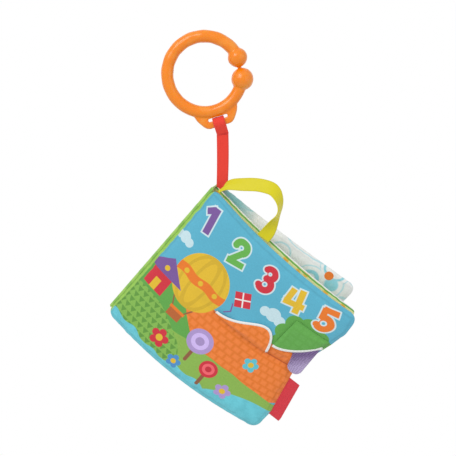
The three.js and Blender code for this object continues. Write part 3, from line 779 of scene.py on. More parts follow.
class Pad:
    """A padded panel on its way: the grid of its two flat cloths, and how thick each side may be."""

    def __init__(self, panel, seed, sizes, shape):
        self.panel, self.shape = panel, shape
        step = sizes.grid_step / MM
        across, up = np.meshgrid(lanes(panel.width, step), lanes(panel.height, step))
        self.across, self.up = round_corners(across, up, panel)
        self.flat = np.stack([self.across, self.up], axis=-1)
        self.edge = np.minimum(np.minimum(self.across, panel.width - self.across),
                               np.minimum(self.up, panel.height - self.up))
        self.inner = np.zeros(self.across.shape, dtype=bool)
        self.inner[1:-1, 1:-1] = True
        self.spread = np.concatenate([self.flat.reshape(-1, 2), self.flat[self.inner]])
        self.front_height, self.front_limit = self.side_thickness(-1, seed, sizes)
        self.rear_height, self.rear_limit = self.side_thickness(1, seed, sizes)

    def side_thickness(self, facing, seed, sizes):
        """A side's first height over the middle of the pad, and the most that it may swell to."""
        size, flat, edge = QUILT, self.flat, self.edge
        swell = self.panel.swell(self.across, self.up)
        gathers = 0.5 - 0.5 * ripple(flat, size["gather"], seed + facing)
        folds = 0.5 - 0.3 * ripple(flat, size["fold"], seed + 7.0 * facing)
        folds -= 0.2 * ripple(flat, size["small_fold"], seed + 5.0 * facing)
        dent = gathers * sizes.edge_pucker / MM
        dent *= np.exp(-((edge - size["gather_inset"]) / size["gather_reach"]) ** 2)
        dent += (folds * sizes.fold_depth / MM * (1.0 - self.panel.rest(self.across, self.up))
                 * ease(edge, size["fold_inset"], size["fold_full"]))
        height = SWELL["full"] * swell - 0.5 * dent
        limit = np.maximum(swell - dent, size["least"] * swell)
        if self.shape is not None and facing < 0:
            height = height + self.shape(self.across, self.up)
            limit = limit + self.shape(self.across, self.up)
        height = np.where(edge < 0.01, 0.0, np.clip(height, size["first_least"] * swell, limit))
        return height, limit

    def sew(self, name, wrap):
        """The two cloths as one mesh that shares its rim; the first finish wraps round to the rear."""
        panel, inner = self.panel, self.inner
        front = to_world(panel.at(self.across, self.up, -self.front_height))
        rear = to_world(panel.at(self.across, self.up, self.rear_height))
        count = inner.size
        index = np.arange(count).reshape(inner.shape)
        index[inner] = count + np.arange(inner.sum())
        behind = np.stack([index[:-1, :-1], index[1:, :-1], index[1:, 1:], index[:-1, 1:]], axis=-1)
        front_faces = grid_faces(*inner.shape)
        faces = np.concatenate([front_faces, behind.reshape(-1, 4)])
        points = np.concatenate([front.reshape(-1, 3), rear[inner]])
        made = face_out(mesh_object(name, points, faces, self.spread))
        near = (self.edge[:-1, :-1] + self.edge[1:, 1:]).reshape(-1) / 2 < wrap
        made.data.polygons.foreach_set(
            "material_index", [0] * len(front_faces) + [0 if close else 1 for close in near])
        return made

    def held(self):
        """The share of each point that the seam and the fold keep in place."""
        count = self.inner.size
        held = np.concatenate([~self.inner.reshape(-1), np.zeros(self.inner.sum())]).astype(float)
        if self.shape is not None:
            depth = -self.shape(self.across, self.up).reshape(-1)
            fold = np.clip(depth - HOLD["fold"], 0.0, 1.0).round(1)
            held[:count] = np.maximum(held[:count], fold)
        return held

    def hold_in(self, made):
        """Brings a swollen pad back inside its panel's thickness, softly."""
        full, least, thin = HOLD["full"], HOLD["least"], HOLD["thin"]
        rear_count = self.inner.sum()
        local = to_book(mesh_points(made))
        middle = self.panel.at(self.spread[:, 0], self.spread[:, 1])
        way = np.concatenate([np.full(self.inner.size, -1.0), np.ones(rear_count)])
        limit = np.concatenate([self.front_limit.reshape(-1), self.rear_limit[self.inner]])
        limit = np.maximum(limit, thin)
        out = (local[:, 1] - middle[:, 1]) * way / limit
        drawn = full + (1.0 - full) * (1.0 - np.exp(-(out - full) / (1.0 - full)))
        soft = np.where(out > full, drawn, np.maximum(out, least))
        loose = np.concatenate([self.inner.reshape(-1), np.ones(rear_count, dtype=bool)])
        local[:, 1] = np.where(loose, middle[:, 1] + soft * limit * way, local[:, 1])
        move_points(made, to_world(local))


def quilt(name, panel, seed, sizes, shape, wrap):
    """One padded panel: both cloths, sewn together round the edge and filled."""
    pad = Pad(panel, seed, sizes, shape)
    made = pad.sew(name, wrap)
    swell_up(made, pad.held())
    pad.hold_in(made)
    return refine(made, 1)


# Finishes

def tinted(shade, gain, lift=0.0):
    """A colour made darker or paler."""
    return tuple(min(1.0, value * gain + lift) for value in shade)


def cloth_finish(name, paint):
    """Brushed printed cloth: paint takes the finish and the flat spot and gives the colour."""
    finish = Finish(name, roughness=0.88, sheen=0.25)
    spot = finish.place("UV")
    finish.fleece(spot, paint(finish, spot))
    return finish.material


def plain_paint(shade):
    """One colour with faint clouding."""
    def paint(finish, spot):
        return finish.mix(finish.noise(spot, 0.12), tinted(shade, 0.93), shade)
    return paint


# Each plain digit's strokes in its own upright millimetres: a slab's centre, half sizes and tilt, or an
# arch's centre, radius, half width, facing and sweep
DIGIT_STROKES = {
    1: (("slab", 1.4, 0.0, 2.5, 9.4, 0.0), ("slab", -2.0, 6.0, 3.4, 2.2, 34.0)),
    2: (("arch", 0.0, 4.2, 4.2, 2.4, 62.0, 225.0), ("slab", -0.6, -2.6, 2.2, 5.6, -40.0),
        ("slab", 0.2, -7.2, 6.4, 2.2, 0.0)),
    3: (("arch", -0.2, 4.4, 3.7, 2.3, 25.0, 245.0), ("arch", 0.0, -3.9, 4.3, 2.4, -25.0, 250.0)),
    4: (("slab", 2.6, 0.0, 2.3, 9.4, 0.0), ("slab", -0.4, -3.0, 7.4, 2.2, 0.0),
        ("slab", -4.6, 2.6, 2.2, 5.6, -12.0)),
    5: (("slab", 0.8, 7.2, 5.4, 2.2, 0.0), ("slab", -3.4, 3.6, 2.1, 4.6, 0.0),
        ("arch", -0.8, -3.2, 4.6, 2.4, -12.0, 262.0)),
}


def digit_shape(spot, digit, x, y, lean):
    """A plain bold digit round a centre, leaning by an angle in degrees."""
    turn = math.radians(lean)
    strokes = []
    for kind, u, v, *sizes in DIGIT_STROKES[digit]:
        centre = (x + u * math.cos(turn) - v * math.sin(turn), y + u * math.sin(turn) + v * math.cos(turn))
        if kind == "slab":
            half_width, half_height, tilt = sizes
            strokes.append(block(spot, *centre, half_width, half_height, lean + tilt))
        else:
            radius, half_width, facing, arc = sizes
            strokes.append(bow(spot, *centre, radius, half_width, facing + lean, arc))
    return pile_up(strokes)


# The puffs of a cloud round its middle, and the bushes: places and radii in the cover's flat millimetres
CLOUD_PUFFS = ((0.0, 0.0, 5.2), (6.0, -1.2, 4.0), (-6.0, -1.4, 3.6))
BUSHES = ((103.0, 90.5, 6.6), (112.0, 94.0, 7.6), (122.0, 91.0, 6.8), (129.5, 88.0, 5.0), (100.5, 81.0, 6.0),
          (102.5, 73.0, 5.2))


class CoverPrint:
    """The front cover's print: flat shapes laid over each other in the cover's own flat millimetres."""

    def __init__(self, finish, spot, colours):
        self.finish, self.spot, self.colours = finish, spot, colours
        self.x, self.y = finish.split(spot)
        self.shade = finish.mix(finish.noise(spot, 0.018), colours.sky, tinted(colours.sky, 1.14, 0.012))
        self.sway = (finish.noise(spot, 0.05, 1.0) - 0.5) * 9.0

    def lay(self, shape, tone, softness=0.3):
        """Covers a shape with a colour."""
        self.shade = self.finish.mix(shape.ink(softness), self.shade, tone)

    def clouds(self):
        """Two clouds, one of them partly off the cover."""
        for x, y, size in ((88.0, 86.0, 1.0), (8.0, 84.0, 0.8)):
            puffs = [disc(self.spot, x + right * size, y + up * size, radius * size)
                     for right, up, radius in CLOUD_PUFFS]
            self.lay(pile_up(puffs), (0.60, 0.80, 0.86))

    def hills(self):
        """The far hill, the brick field and its hump, the bushes, the near hill and its planted patch."""
        spot, x, y, sway, tones = self.spot, self.x, self.y, self.sway, self.colours
        self.lay(oval(spot, 30.0, 24.0, 62.0, 36.0) + sway * 0.2, tones.leaf_green)
        field = (oval(spot, 104.0, 62.0, 68.0, 38.5) + sway * 0.25).most(y - 60.2)
        bricks = brick_shade(self.finish, x, y, tones)
        self.lay(field, bricks)
        self.lay(oval(spot, 114.0, 60.0, 22.0, 11.0), bricks)
        self.lay(pile_up([disc(spot, *bush) for bush in BUSHES]), tones.leaf_green)
        self.lay(oval(spot, 76.0, -4.0, 110.0, 34.0) + sway * 0.3, tinted(tones.lime, 0.82))
        patch = oval(spot, 10.0, 6.0, 50.0, 31.0) + sway * 0.5
        tufts = abs(x.repeat(5.4) - 2.7) * 1.5 - y.repeat(4.9) * 0.92 + 0.8
        self.lay(patch, (0.24, 0.50, 0.085))
        self.lay(patch.most(tufts), (0.125, 0.33, 0.05), 0.5)

    def stream(self):
        """The stream along the lower edge, and the pool at its end."""
        x, aqua = self.x, self.colours.aqua
        bank = self.y - 7.5 - (x * 0.34).wave() * 1.3 - (x * 0.11).wave() * 1.6
        pool = oval(self.spot, 124.0, -5.0, 42.0, 25.0) + self.sway * 0.35
        ripples = self.finish.noise(self.spot, 0.16, 3.0)
        self.lay(bank.least(pool), self.finish.mix(ripples, tinted(aqua, 0.8), tinted(aqua, 1.25, 0.05)), 0.6)

    def balloon(self):
        """A yellow balloon with a spotted band, and its basket."""
        spot, tones = self.spot, self.colours
        middle, level, half_height = 37.0, 68.0, 21.5
        envelope = oval(spot, middle, level, 20.5, half_height)
        ropes = [bar(spot, middle + way * 10.0, 51.0, middle + way * 4.5, 41.0, 0.5) for way in (-1, 1)]
        self.lay(pile_up(ropes), (0.30, 0.12, 0.05))
        self.lay(envelope, tones.yellow)
        for half_width in (6.2, 14.6):
            seam = abs(oval(spot, middle, level, half_width, half_height)) - 1.0
            self.lay(seam.most(envelope), tinted(tones.yellow, 0.86))
        band = abs(self.y - level - ((self.x - middle) * 0.33).wave() * 0.8) - 3.4
        self.lay(band.most(envelope), tones.orange)
        for place in (-13.0, 0.0, 13.0):
            self.lay(disc(spot, middle + place, level, 1.9).most(envelope), tones.yellow)
        self.lay(block(spot, middle, 38.0, 5.4, 3.8), (0.50, 0.13, 0.03))
        self.lay(block(spot, middle, 41.2, 6.2, 1.1), tones.orange)

    def cottage(self):
        """A red cottage with a pointed roof, its door and a round window."""
        spot, tones = self.spot, self.colours
        middle, ridge, eaves = 13.0, 68.0, 53.6
        slopes = side(spot, middle, ridge, 50.0).most(side(spot, middle, ridge, 130.0))
        self.lay(block(spot, middle, 47.0, 8.6, 7.4), tones.red)
        self.lay(slopes.most(side(spot, middle, eaves, -90.0)), tones.purple)
        self.lay(block(spot, middle, 44.0, 2.5, 4.4), tones.yellow)
        self.lay(disc(spot, middle, 58.6, 2.0), tones.yellow)

    def trees(self):
        """Two round trees with rings in their crowns."""
        tones = self.colours
        for x, y, radius, tone in ((63.0, 35.0, 9.6, tones.lilac), (80.0, 22.0, 6.6, tones.red)):
            self.lay(bar(self.spot, x, y - radius - 8.0, x, y, 1.3), (0.28, 0.11, 0.05))
            self.lay(disc(self.spot, x, y, radius), tone)
            self.lay(disc(self.spot, x, y, radius * 0.66), tinted(tone, 1.3, 0.10))
            self.lay(disc(self.spot, x, y, radius * 0.34), tinted(tone, 0.9))

    def flowers(self):
        """Four flowers with five petals each."""
        tones, reach, petal, heart = self.colours, 4.2, 2.6, 2.4
        for x, y, size, tone in ((40.0, 17.0, 1.05, tones.red), (58.0, 10.5, 0.8, (0.08, 0.30, 0.62)),
                                 (97.0, 14.0, 0.9, tones.lilac), (100.0, 44.0, 0.9, tones.aqua)):
            petals = [disc(self.spot, x + reach * size * math.cos(turn), y + reach * size * math.sin(turn),
                           petal * size) for turn in np.arange(5) * math.tau / 5 + 0.3]
            self.lay(pile_up(petals), tone)
            self.lay(disc(self.spot, x, y, heart * size), tones.yellow)

    def fold_shadow_and_seam_edge(self):
        """The painted shadow along the fold below the lift flap, and the seam edge by the spine."""
        # Painted shadow: a thin dark orange line along the lift flap's fold.
        self.lay((abs(self.y - 59.0) - 0.4).most(57.0 - self.x), (0.46, 0.065, 0.012), 1.0)
        self.lay(self.x - 2.2, self.colours.lime, 0.8)

    def kite(self):
        """A leaning kite with its cross and its tail."""
        spot, tones = self.spot, self.colours
        middle, level, half, lean = 66.0, 80.0, 5.6, 32.0
        cross = [block(spot, middle, level, *sizes, lean) for sizes in ((half, 0.5), (0.5, half))]
        tail = [bar(spot, 62.6, 73.2, 65.0, 68.0, 0.45), bar(spot, 65.0, 68.0, 62.0, 64.0, 0.45)]
        self.lay(block(spot, middle, level, half, half, lean), tones.red)
        self.lay(pile_up(cross), tones.white)
        self.lay(pile_up(tail), tones.purple)

    def digits(self):
        """Each digit with its place, its lean and its colour, over a pale outline."""
        tones = self.colours
        for digit, x, y, lean, tone in (
                (1, 13.5, 105.0, 12.0, tones.purple), (2, 43.0, 103.5, 15.0, tinted(tones.leaf_green, 1.15)),
                (3, 69.0, 103.5, 10.0, tones.red), (4, 92.5, 105.0, 16.0, tones.yellow),
                (5, 116.0, 107.0, 12.0, tones.orange)):
            shape = digit_shape(self.spot, digit, x, y, lean)
            self.lay(shape - 1.05, (0.66, 0.82, 0.86))
            self.lay(shape, tone)


def cover_paint(colours):
    """A generic nursery scene: fields, a balloon, a cottage, round trees, flowers and plain digits."""
    def paint(finish, spot):
        cover = CoverPrint(finish, spot, colours)
        for layer in (cover.clouds, cover.hills, cover.stream, cover.balloon, cover.cottage, cover.trees,
                      cover.flowers, cover.fold_shadow_and_seam_edge, cover.kite, cover.digits):
            layer()
        return painted_seam_shade(finish, spot, cover.shade, COVER)
    return paint


def painted_seam_shade(finish, spot, shade, panel, depth=0.2):
    """The colour with a darker line of painted shade where a seam presses the cloth by a panel's edge."""
    x, y = finish.split(spot)
    inset = x.least(panel.width - x).least(y).least(panel.height - y)
    # Painted shade: a soft darker line 3.2 mm in from the edge, for the hollow along the seam.
    line = (abs(inset - 3.2) - 0.3).ink(1.8)
    return finish.node("ShaderNodeHueSaturation", {}, {"Color": shade, "Value": 1.0 - line * depth})


def brick_shade(finish, x, y, colours):
    """Rows of small rounded cells over orange, every other row set over."""
    row = 5.0
    set_over = (y * (math.pi / row)).wave().number("SIGN") * 1.6
    cells = y.bands(row, 1.75).most((x + set_over).bands(6.2, 2.25))
    blot = finish.noise(finish.place("UV"), 0.09)
    ground = finish.mix(blot, tinted(colours.orange, 0.9), colours.orange)
    return finish.mix(cells.ink(1.3) * 0.8, ground, tinted(colours.orange, 1.1, 0.03))


def brick_paint(colours):
    """The cover's brick print, for the lift flap."""
    def paint(finish, spot):
        return brick_shade(finish, *finish.split(spot), colours)
    return paint


def cell_paint(ground, mark):
    """Leaning rows of small rounded cells over a ground."""
    def paint(finish, spot):
        x, y = finish.split(spot)
        cells = y.bands(5.2, 1.7).most((x + y * 0.2).bands(6.4, 2.3))
        return finish.mix(cells.ink(0.8) * 0.7, ground, mark)
    return paint


def wave_paint(colours):
    """White cloth with loose aqua wave lines, a deeper corner and an orange dot or two."""
    def paint(finish, spot):
        x, y = finish.split(spot)
        bend = finish.noise(spot, 0.035, 1.0) * 26.0
        loops = finish.cells(spot, 0.042, 0.85)
        wide = abs(loops - 0.36) * 24.0 - 0.85
        thin = abs(loops - 0.5) * 24.0 - 0.4
        sweeps = (y + bend + (x * 0.11).wave() * 5.0).bands(21.0, 0.5)
        corner = disc(spot, 6.0, 116.0, 22.0)
        dots = disc(spot, 100.0, 117.0, 3.2).least(disc(spot, 60.0, 30.0, 4.0))
        shade = finish.mix(wide.ink(0.6), colours.white, (0.30, 0.68, 0.76))
        shade = finish.mix(thin.least(sweeps).ink(0.6) * 0.8, shade, (0.42, 0.74, 0.80))
        shade = finish.mix(corner.ink(16.0) * 0.85, shade, (0.20, 0.60, 0.66))
        shade = finish.mix(dots.ink(), shade, colours.orange)
        return painted_seam_shade(finish, spot, shade, REAR, 0.12)
    return paint


def fleck_paint(colours, ground, fleck, stripe):
    """A ground with loose flecks, and a stripe and a white hem along the top edge."""
    def paint(finish, spot):
        x, y = finish.split(spot)
        flecks = (finish.cells(spot, 0.13, 0.9) - 0.3) * 8.0
        line = abs(y - 120.7 + (x * 0.09).wave() * 0.2) - 0.6
        shade = finish.mix(flecks.ink(0.6), ground, fleck)
        shade = finish.mix(line.ink(0.6), shade, stripe)
        shade = finish.mix((121.4 - y).ink(), shade, colours.white)
        return painted_seam_shade(finish, spot, shade, LEAF, 0.14)
    return paint


def hemmed_paint(colours):
    """Green cloth with paler leaves and a white hem along its top edge."""
    def paint(finish, spot):
        leaves = (finish.cells(spot, 0.06, 0.7) - 0.34) * 16.0
        shade = finish.mix(leaves.ink(0.8), colours.leaf_green, colours.lime)
        shade = finish.mix((117.5 - spot.along(0.0, 1.0)).ink(0.5), shade, colours.white)
        return painted_seam_shade(finish, spot, shade, LEAF, 0.14)
    return paint


def spine_paint(colours):
    """Light green with faint darker waves across the spine."""
    def paint(finish, spot):
        x, y = finish.split(spot)
        leaves = (y + (x * 0.5).wave() * 2.0).bands(15.0, 3.4)
        shade = finish.mix(finish.noise(spot, 0.05), colours.lime, (0.42, 0.66, 0.16))
        return finish.mix(leaves.ink(1.2) * 0.4, shade, colours.leaf_green)
    return paint


def webbing_finish(name, shade, slant=1.0, pitch=0.75):
    """Twill webbing: slanting ribs in rows across a tape."""
    finish = Finish(name, roughness=0.72, sheen=0.2)
    spot = finish.place("UV")
    x, y = finish.split(spot)
    zigzag = abs(x.repeat(2.0) - 1.0) * slant
    height = (y + zigzag).ribs(pitch) * 0.7 + x.ribs(0.9) * 0.3
    fuzz = finish.noise(spot, 3.0, 3.0)
    darker = (shade[0] * 0.8, shade[1] * 0.5, shade[2] * 0.6)
    finish.colour(finish.mix(height * 0.8 + fuzz * 0.3, darker, shade))
    finish.bump(height + fuzz * 0.3, 0.16)
    return finish.material


def satin_finish(name, shade):
    """Satin ribbon: a soft gloss with fine lines across it."""
    finish = Finish(name, roughness=0.42, sheen=0.05)
    finish.surface.inputs["Specular IOR Level"].default_value = 0.35
    spot = finish.place("UV")
    x, y = finish.split(spot)
    lines = y.ribs(0.35)
    hem = (abs(abs(x) - 4.2) - 0.25).ink()
    soft = finish.noise(spot, 0.25)
    finish.colour(finish.mix(soft * 0.5 + hem * 0.4, shade, tinted(shade, 0.86)))
    finish.rough(0.38 + lines * 0.12)
    finish.bump(lines * 0.5 + hem * 0.6, 0.05)
    return finish.material


def ring_finish(name, shade):
    """Glossy moulded plastic with faint flow marks, and paler patches painted on as highlights."""
    finish = Finish(name, roughness=0.26, coat=0.25)
    finish.surface.inputs["Specular IOR Level"].default_value = 0.35
    finish.surface.inputs["Subsurface Weight"].default_value = 0.12
    finish.surface.inputs["Subsurface Radius"].default_value = (0.004, 0.0015, 0.0005)
    spot = finish.place("Object")
    flow = finish.noise(spot, 0.06)
    grain = finish.noise(spot, 1.2)
    # Painted highlights: paler patches here and there round the ring, for light shining through the plastic.
    clear = ((finish.noise(spot, 0.13, 1.0, 0.3) - 0.53) * 5.0).clamped()
    deeper = (shade[0] * 0.95, shade[1] * 0.80, shade[2] * 0.7)
    paler = (shade[0], shade[1] * 1.28, shade[2] + 0.04)
    finish.colour(finish.mix(clear * 0.6, finish.mix(flow, deeper, shade), paler))
    finish.rough(0.22 + grain * 0.1)
    finish.bump(flow * 0.8 + grain * 0.1, 0.12)
    return finish.material


def rib_knit_finish(name, shade, shadow_tone):
    """Ribbed knit with painted shade: deepest under the corner flap, paling down the tab."""
    finish = Finish(name, roughness=0.85, sheen=0.3)
    spot = finish.place("UV")
    x, y = finish.split(spot)
    rib = x.ribs(TAB["rib"])
    # Painted shade: the corner flap's shadow and the shade on the tab's curve, darkest at top and spine side.
    painted_shade = (y * 0.055 + x * -0.07 + 0.5).clamped()
    finish.colour(finish.mix(rib * 0.4, finish.mix(painted_shade, shade, shadow_tone), tinted(shade, 0.62)))
    finish.bump(rib * -1.0 + finish.noise(spot, 2.5, 3.0) * 0.25, 0.35)
    return finish.material


def thread_finish(name, shade):
    """Twisted sewing thread."""
    finish = Finish(name, roughness=0.6, sheen=0.2)
    twist = finish.noise(finish.place("Object"), 4.0)
    finish.colour(finish.mix(twist, tinted(shade, 0.8), shade))
    finish.bump(twist, 0.04)
    return finish.material


def finish_makers(tone):
    """What makes each finish, by the name that the pieces ask for."""
    return {
        "ring": lambda: ring_finish("orange_plastic", tone.ring),
        "webbing": lambda: webbing_finish("red_webbing", tone.strap),
        "ribbon": lambda: satin_finish("yellow_satin", tone.ribbon),
        "cover": lambda: cloth_finish("cover_print", cover_paint(tone)),
        "lining": lambda: cloth_finish("white_lining", plain_paint(tone.white)),
        "binding": lambda: cloth_finish("white_binding", plain_paint((0.90, 0.91, 0.89))),
        "leaf_front": lambda: cloth_finish(
            "leaf_fleck_print", fleck_paint(tone, (0.80, 0.80, 0.36), (0.86, 0.50, 0.06), tone.leaf_green)),
        "leaf_back": lambda: cloth_finish("leaf_back_print", hemmed_paint(tone)),
        "rear_inside": lambda: cloth_finish("wave_print", wave_paint(tone)),
        "rear_outside": lambda: cloth_finish(
            "rear_print", cell_paint((0.06, 0.45, 0.42), (0.10, 0.56, 0.50))),
        "spine": lambda: cloth_finish("spine_print", spine_paint(tone)),
        "lift_flap": lambda: cloth_finish("orange_cell_print", brick_paint(tone)),
        "corner_flap": lambda: cloth_finish("green_print", cell_paint(tone.leaf_green, (0.135, 0.43, 0.085))),
        # The tab's lilac, then the tone of its painted shadow under the corner flap
        "tab": lambda: rib_knit_finish("lilac_rib", (0.56, 0.45, 0.74), (0.16, 0.08, 0.26)),
        "label": lambda: webbing_finish("red_label_tape", tinted(tone.red, 1.3), 0.0, 0.4),
        "white_thread": lambda: thread_finish("white_thread", (0.84, 0.85, 0.83)),
        "red_thread": lambda: thread_finish("red_thread", (0.55, 0.02, 0.03)),
    }


FINISHES = {}


def finish(name):
    """The named finish, made once."""
    if name not in FINISHES:
        FINISHES[name] = finish_makers(bpy.context.scene.book_colours)[name]()
    return FINISHES[name]


# The ring, moulded in one piece

class RingSizes:
    """The ring's sizes in millimetres and degrees. A ball is its angle, its radius and its distance out."""
    centre = Vector((-8.8, 0.0, -18.736))
    path_radius = 24.85
    tube_radius = 4.15
    upper_ball = (27.0, 6.5, 24.45)
    lower_ball = (-6.7, 7.4, 25.25)
    lug_angle = -73.0
    lug_half_width = 11.0
    lug_shoulder = 11.9
    lug_flare = 4.0
    lug_thickness = 4.0
    lug_bevel = 1.1
    slot_length = 13.4
    slot_height = 2.1
    bar_height = 4.6
    outer_radius = 29.0
    waves = 17
    wave_slant = 0.25
    voxel = 0.42


def ring_tube():
    """The open ring's tube, with its length round the ring as rows."""
    size = RingSizes
    rows, sides = 180, 36
    start, end = size.upper_ball[0], 360.0 + size.lower_ball[0]
    centres, across, out = [], [], []
    for angle in np.radians(np.linspace(start, end, rows)):
        outward = np.array([math.cos(angle), 0.0, math.sin(angle)])
        centres.append(np.array(size.centre) + outward * size.path_radius)
        across.append(outward)
        out.append(np.array([0.0, 1.0, 0.0]))
    turns = np.arange(sides) * math.tau / sides
    section = np.stack([np.cos(turns), np.sin(turns)], axis=-1) * size.tube_radius
    return sweep("ring_tube", np.array(centres) * MM, across, out, section * MM)


def lug_outline():
    """Half of the lug's outline below the ring, from the ring's path down to the middle of its lower edge."""
    size = RingSizes
    top = -size.path_radius
    slot_top = -size.outer_radius
    slot_bottom = slot_top - size.slot_height
    bottom = slot_bottom - size.bar_height
    flare = size.lug_half_width + size.lug_flare
    middle = slot_bottom - size.lug_bevel / 2
    neck = (flare - size.lug_bevel / 2, slot_top + size.lug_bevel / 2)
    shoulder = (size.lug_shoulder, middle)
    chin = (size.lug_shoulder - size.bar_height / 2, bottom)
    foot = (size.lug_half_width - size.bar_height, bottom)

    def curve(a, b, c):
        shares = np.linspace(0.0, 1.0, 8)[:, None]
        a, b, c = (np.array(point) for point in (a, b, c))
        return (1 - shares) ** 2 * a + 2 * shares * (1 - shares) * b + shares ** 2 * c

    return np.concatenate([curve((flare, top), neck, shoulder), curve(shoulder, chin, foot)[1:]])


def ring_frame():
    """The turn from the lug's own plane, with its length along X and its drop along Z, to the world."""
    turn = math.radians(RingSizes.lug_angle)
    along = Vector((-math.sin(turn), 0.0, math.cos(turn)))
    down = Vector((math.cos(turn), 0.0, math.sin(turn)))
    frame_turn = Matrix((along, Vector((0.0, 1.0, 0.0)), -down)).transposed()
    return Matrix.Translation(RingSizes.centre * MM) @ frame_turn.to_4x4()


def lug_plate():
    """The flat lug between the ring and the strap's bar."""
    size = RingSizes
    half = lug_outline()
    outline = np.concatenate([half, half[::-1] * np.array([-1.0, 1.0])])
    thick = size.lug_thickness / 2

    def build(work):
        rings = []
        for depth, inset in ((-thick, size.lug_bevel), (-thick + size.lug_bevel, 0.0),
                             (thick - size.lug_bevel, 0.0), (thick, size.lug_bevel)):
            middle = outline.mean(axis=0)
            run = outline - middle
            shrunk = middle + run * (1.0 - inset / np.linalg.norm(run, axis=1, keepdims=True))
            rings.append([work.verts.new((x * MM, depth * MM, z * MM)) for x, z in shrunk])
        for low, high in zip(rings, rings[1:]):
            for step in range(len(low)):
                after = (step + 1) % len(low)
                work.faces.new((low[step], low[after], high[after], high[step]))
        work.faces.new(list(reversed(rings[0])))
        work.faces.new(rings[-1])
        bmesh.ops.recalc_face_normals(work, faces=work.faces)

    made = bmesh_object("ring_lug", build)
    made.data.transform(ring_frame())
    return made


def boolean(made, other, operation):
    """Adds another solid to a piece, or cuts it out."""
    cutter = made.modifiers.new("solid", "BOOLEAN")
    cutter.operation = operation
    cutter.solver = "EXACT"
    cutter.object = other
    apply_modifiers(made)
    bpy.data.objects.remove(other)


def ring_solid():
    """The tube, its two balls and the lug as one solid, with the strap's slot cut through."""
    size = RingSizes
    made = ring_tube()
    parts = [lug_plate()]
    for angle, radius, out in (size.upper_ball, size.lower_ball):
        turn = math.radians(angle)
        centre = size.centre + Vector((math.cos(turn), 0.0, math.sin(turn))) * out
        place = Matrix.Translation(centre * MM)

        def ball(work, place=place, radius=radius):
            bmesh.ops.create_uvsphere(work, u_segments=48, v_segments=32, radius=radius * MM, matrix=place)

        parts.append(bmesh_object("ring_ball", ball))
    for part in parts:
        boolean(made, part, "UNION")
    middle = -(size.outer_radius + size.slot_height / 2)
    through = size.lug_thickness * 5

    def slot(work):
        place = ring_frame() @ Matrix.Translation((0.0, 0.0, middle * MM))
        stretch = Matrix.Diagonal((size.slot_length * MM, through * MM, size.slot_height * MM, 1.0))
        bmesh.ops.create_cube(work, size=1.0, matrix=place @ stretch)

    boolean(made, bmesh_object("ring_slot", slot), "DIFFERENCE")
    return made


def make_ring(sizes):
    """The ring as moulded: softened where its parts meet, with faint waves round it."""
    size = RingSizes
    made = ring_solid()
    remesh = made.modifiers.new("even", "REMESH")
    remesh.mode = "VOXEL"
    remesh.voxel_size = size.voxel * MM
    soften = made.modifiers.new("soften", "SMOOTH")
    soften.factor = 0.5
    soften.iterations = 8
    apply_modifiers(made)
    points = mesh_points(made)
    normals = np.empty(len(points) * 3)
    made.data.vertices.foreach_get("normal", normals)
    local = points / MM - np.array(size.centre)
    angle = np.arctan2(local[:, 2], local[:, 0])
    lug_side = np.cos(angle - math.radians(size.lug_angle))
    away_from_lug = np.clip(0.75 - lug_side, 0.0, 1.0)
    waves = np.sin(angle * size.waves + local[:, 1] * size.wave_slant) * away_from_lug
    move_points(made, points + normals.reshape(-1, 3) * (waves * sizes.ring_ripple)[:, None])
    shade_smooth(made)
    made.name = "ring_moulding"
    finish_with(made, "ring")
    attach(made, "ring")
    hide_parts("link_ring")


# The strap: a loop round the lug's bar, and doubled webbing down to the book

STRAP_WIDTH = 8.0
WEBBING = 0.85
# The fold's inner radius and length, the gap in its neck, and how far below it its ends and its neck lie
LOOP = {"radius": 3.35, "length": 7.2, "gap": 0.08, "end": 1.2, "neck": 0.4}
# How far the doubled part laps up into the fold and stops short of the book's seam, and its slight bow
STRAP_LAP = 0.6
STRAP_SHORT = 0.4
STRAP_SWAY = 0.35
# The share of the webbing's thickness that each of its two layers has, and half the gap between them
LAYER_SHARE = 0.94
LAYER_GAP = 0.02
# The two lengths, as shares of the way down, with what is trimmed off at the first end, near the last and
# at the last, where the upper one tapers into the lower one over its tip
STRAP_UPPER = {"first": 0.0, "last": 0.62, "slims": (0.0, 0.0, 0.06)}
STRAP_LOWER = {"first": 0.56, "last": 1.0, "slims": (0.02, 0.02, 0.02)}
STRAP_TIP = 0.03
# The dense stitching's rows on each side of the strap, and one stitch of it
TACK = {"rows": 3, "pitch": 0.55, "top": 0.3, "half_width": 3.3, "wave": 0.06, "lift": 0.1}
TACK_STITCH = {"spacing": 0.42, "length": 0.75, "radius": 0.13, "lean": 1.15}


def strap_points():
    """The bar, the stitches and the seam in the book that the strap runs between, in world metres."""
    return [Vector(JOINTS[name]["pos_m"]) for name in ("strap_swing", "book_twist", "book_fold")]


def make_loop():
    """The webbing's fold, from the stitches round the bar and back."""
    bar_spot, stitch, _ = strap_points()
    down = (stitch - bar_spot).normalized()
    level = Vector((0.0, 1.0, 0.0))
    width = down.cross(level).normalized()
    radius = LOOP["radius"] + WEBBING / 2
    neck = WEBBING / 2 + LOOP["gap"]
    lean = math.asin((radius - neck) / LOOP["length"])
    end, turned_in = -LOOP["length"] - LOOP["end"], -LOOP["length"] - LOOP["neck"]
    path = [(neck, end), (neck, turned_in)]
    path += [(radius * math.cos(angle), radius * math.sin(angle))
             for angle in np.linspace(-lean, math.pi + lean, 34)]
    path += [(-neck, turned_in), (-neck, end)]
    centres = np.array([list(bar_spot + (level * x - down * z) * MM) for x, z in smooth_path(path, 70)])
    across = repeated(width, len(centres))
    out = unit(np.cross(tangents(centres), across))
    made = sweep("strap_fold", centres, across, out, tape_section(STRAP_WIDTH, WEBBING))
    finish_with(made, "webbing")
    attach(made, "loop")
    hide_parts("strap_loop")


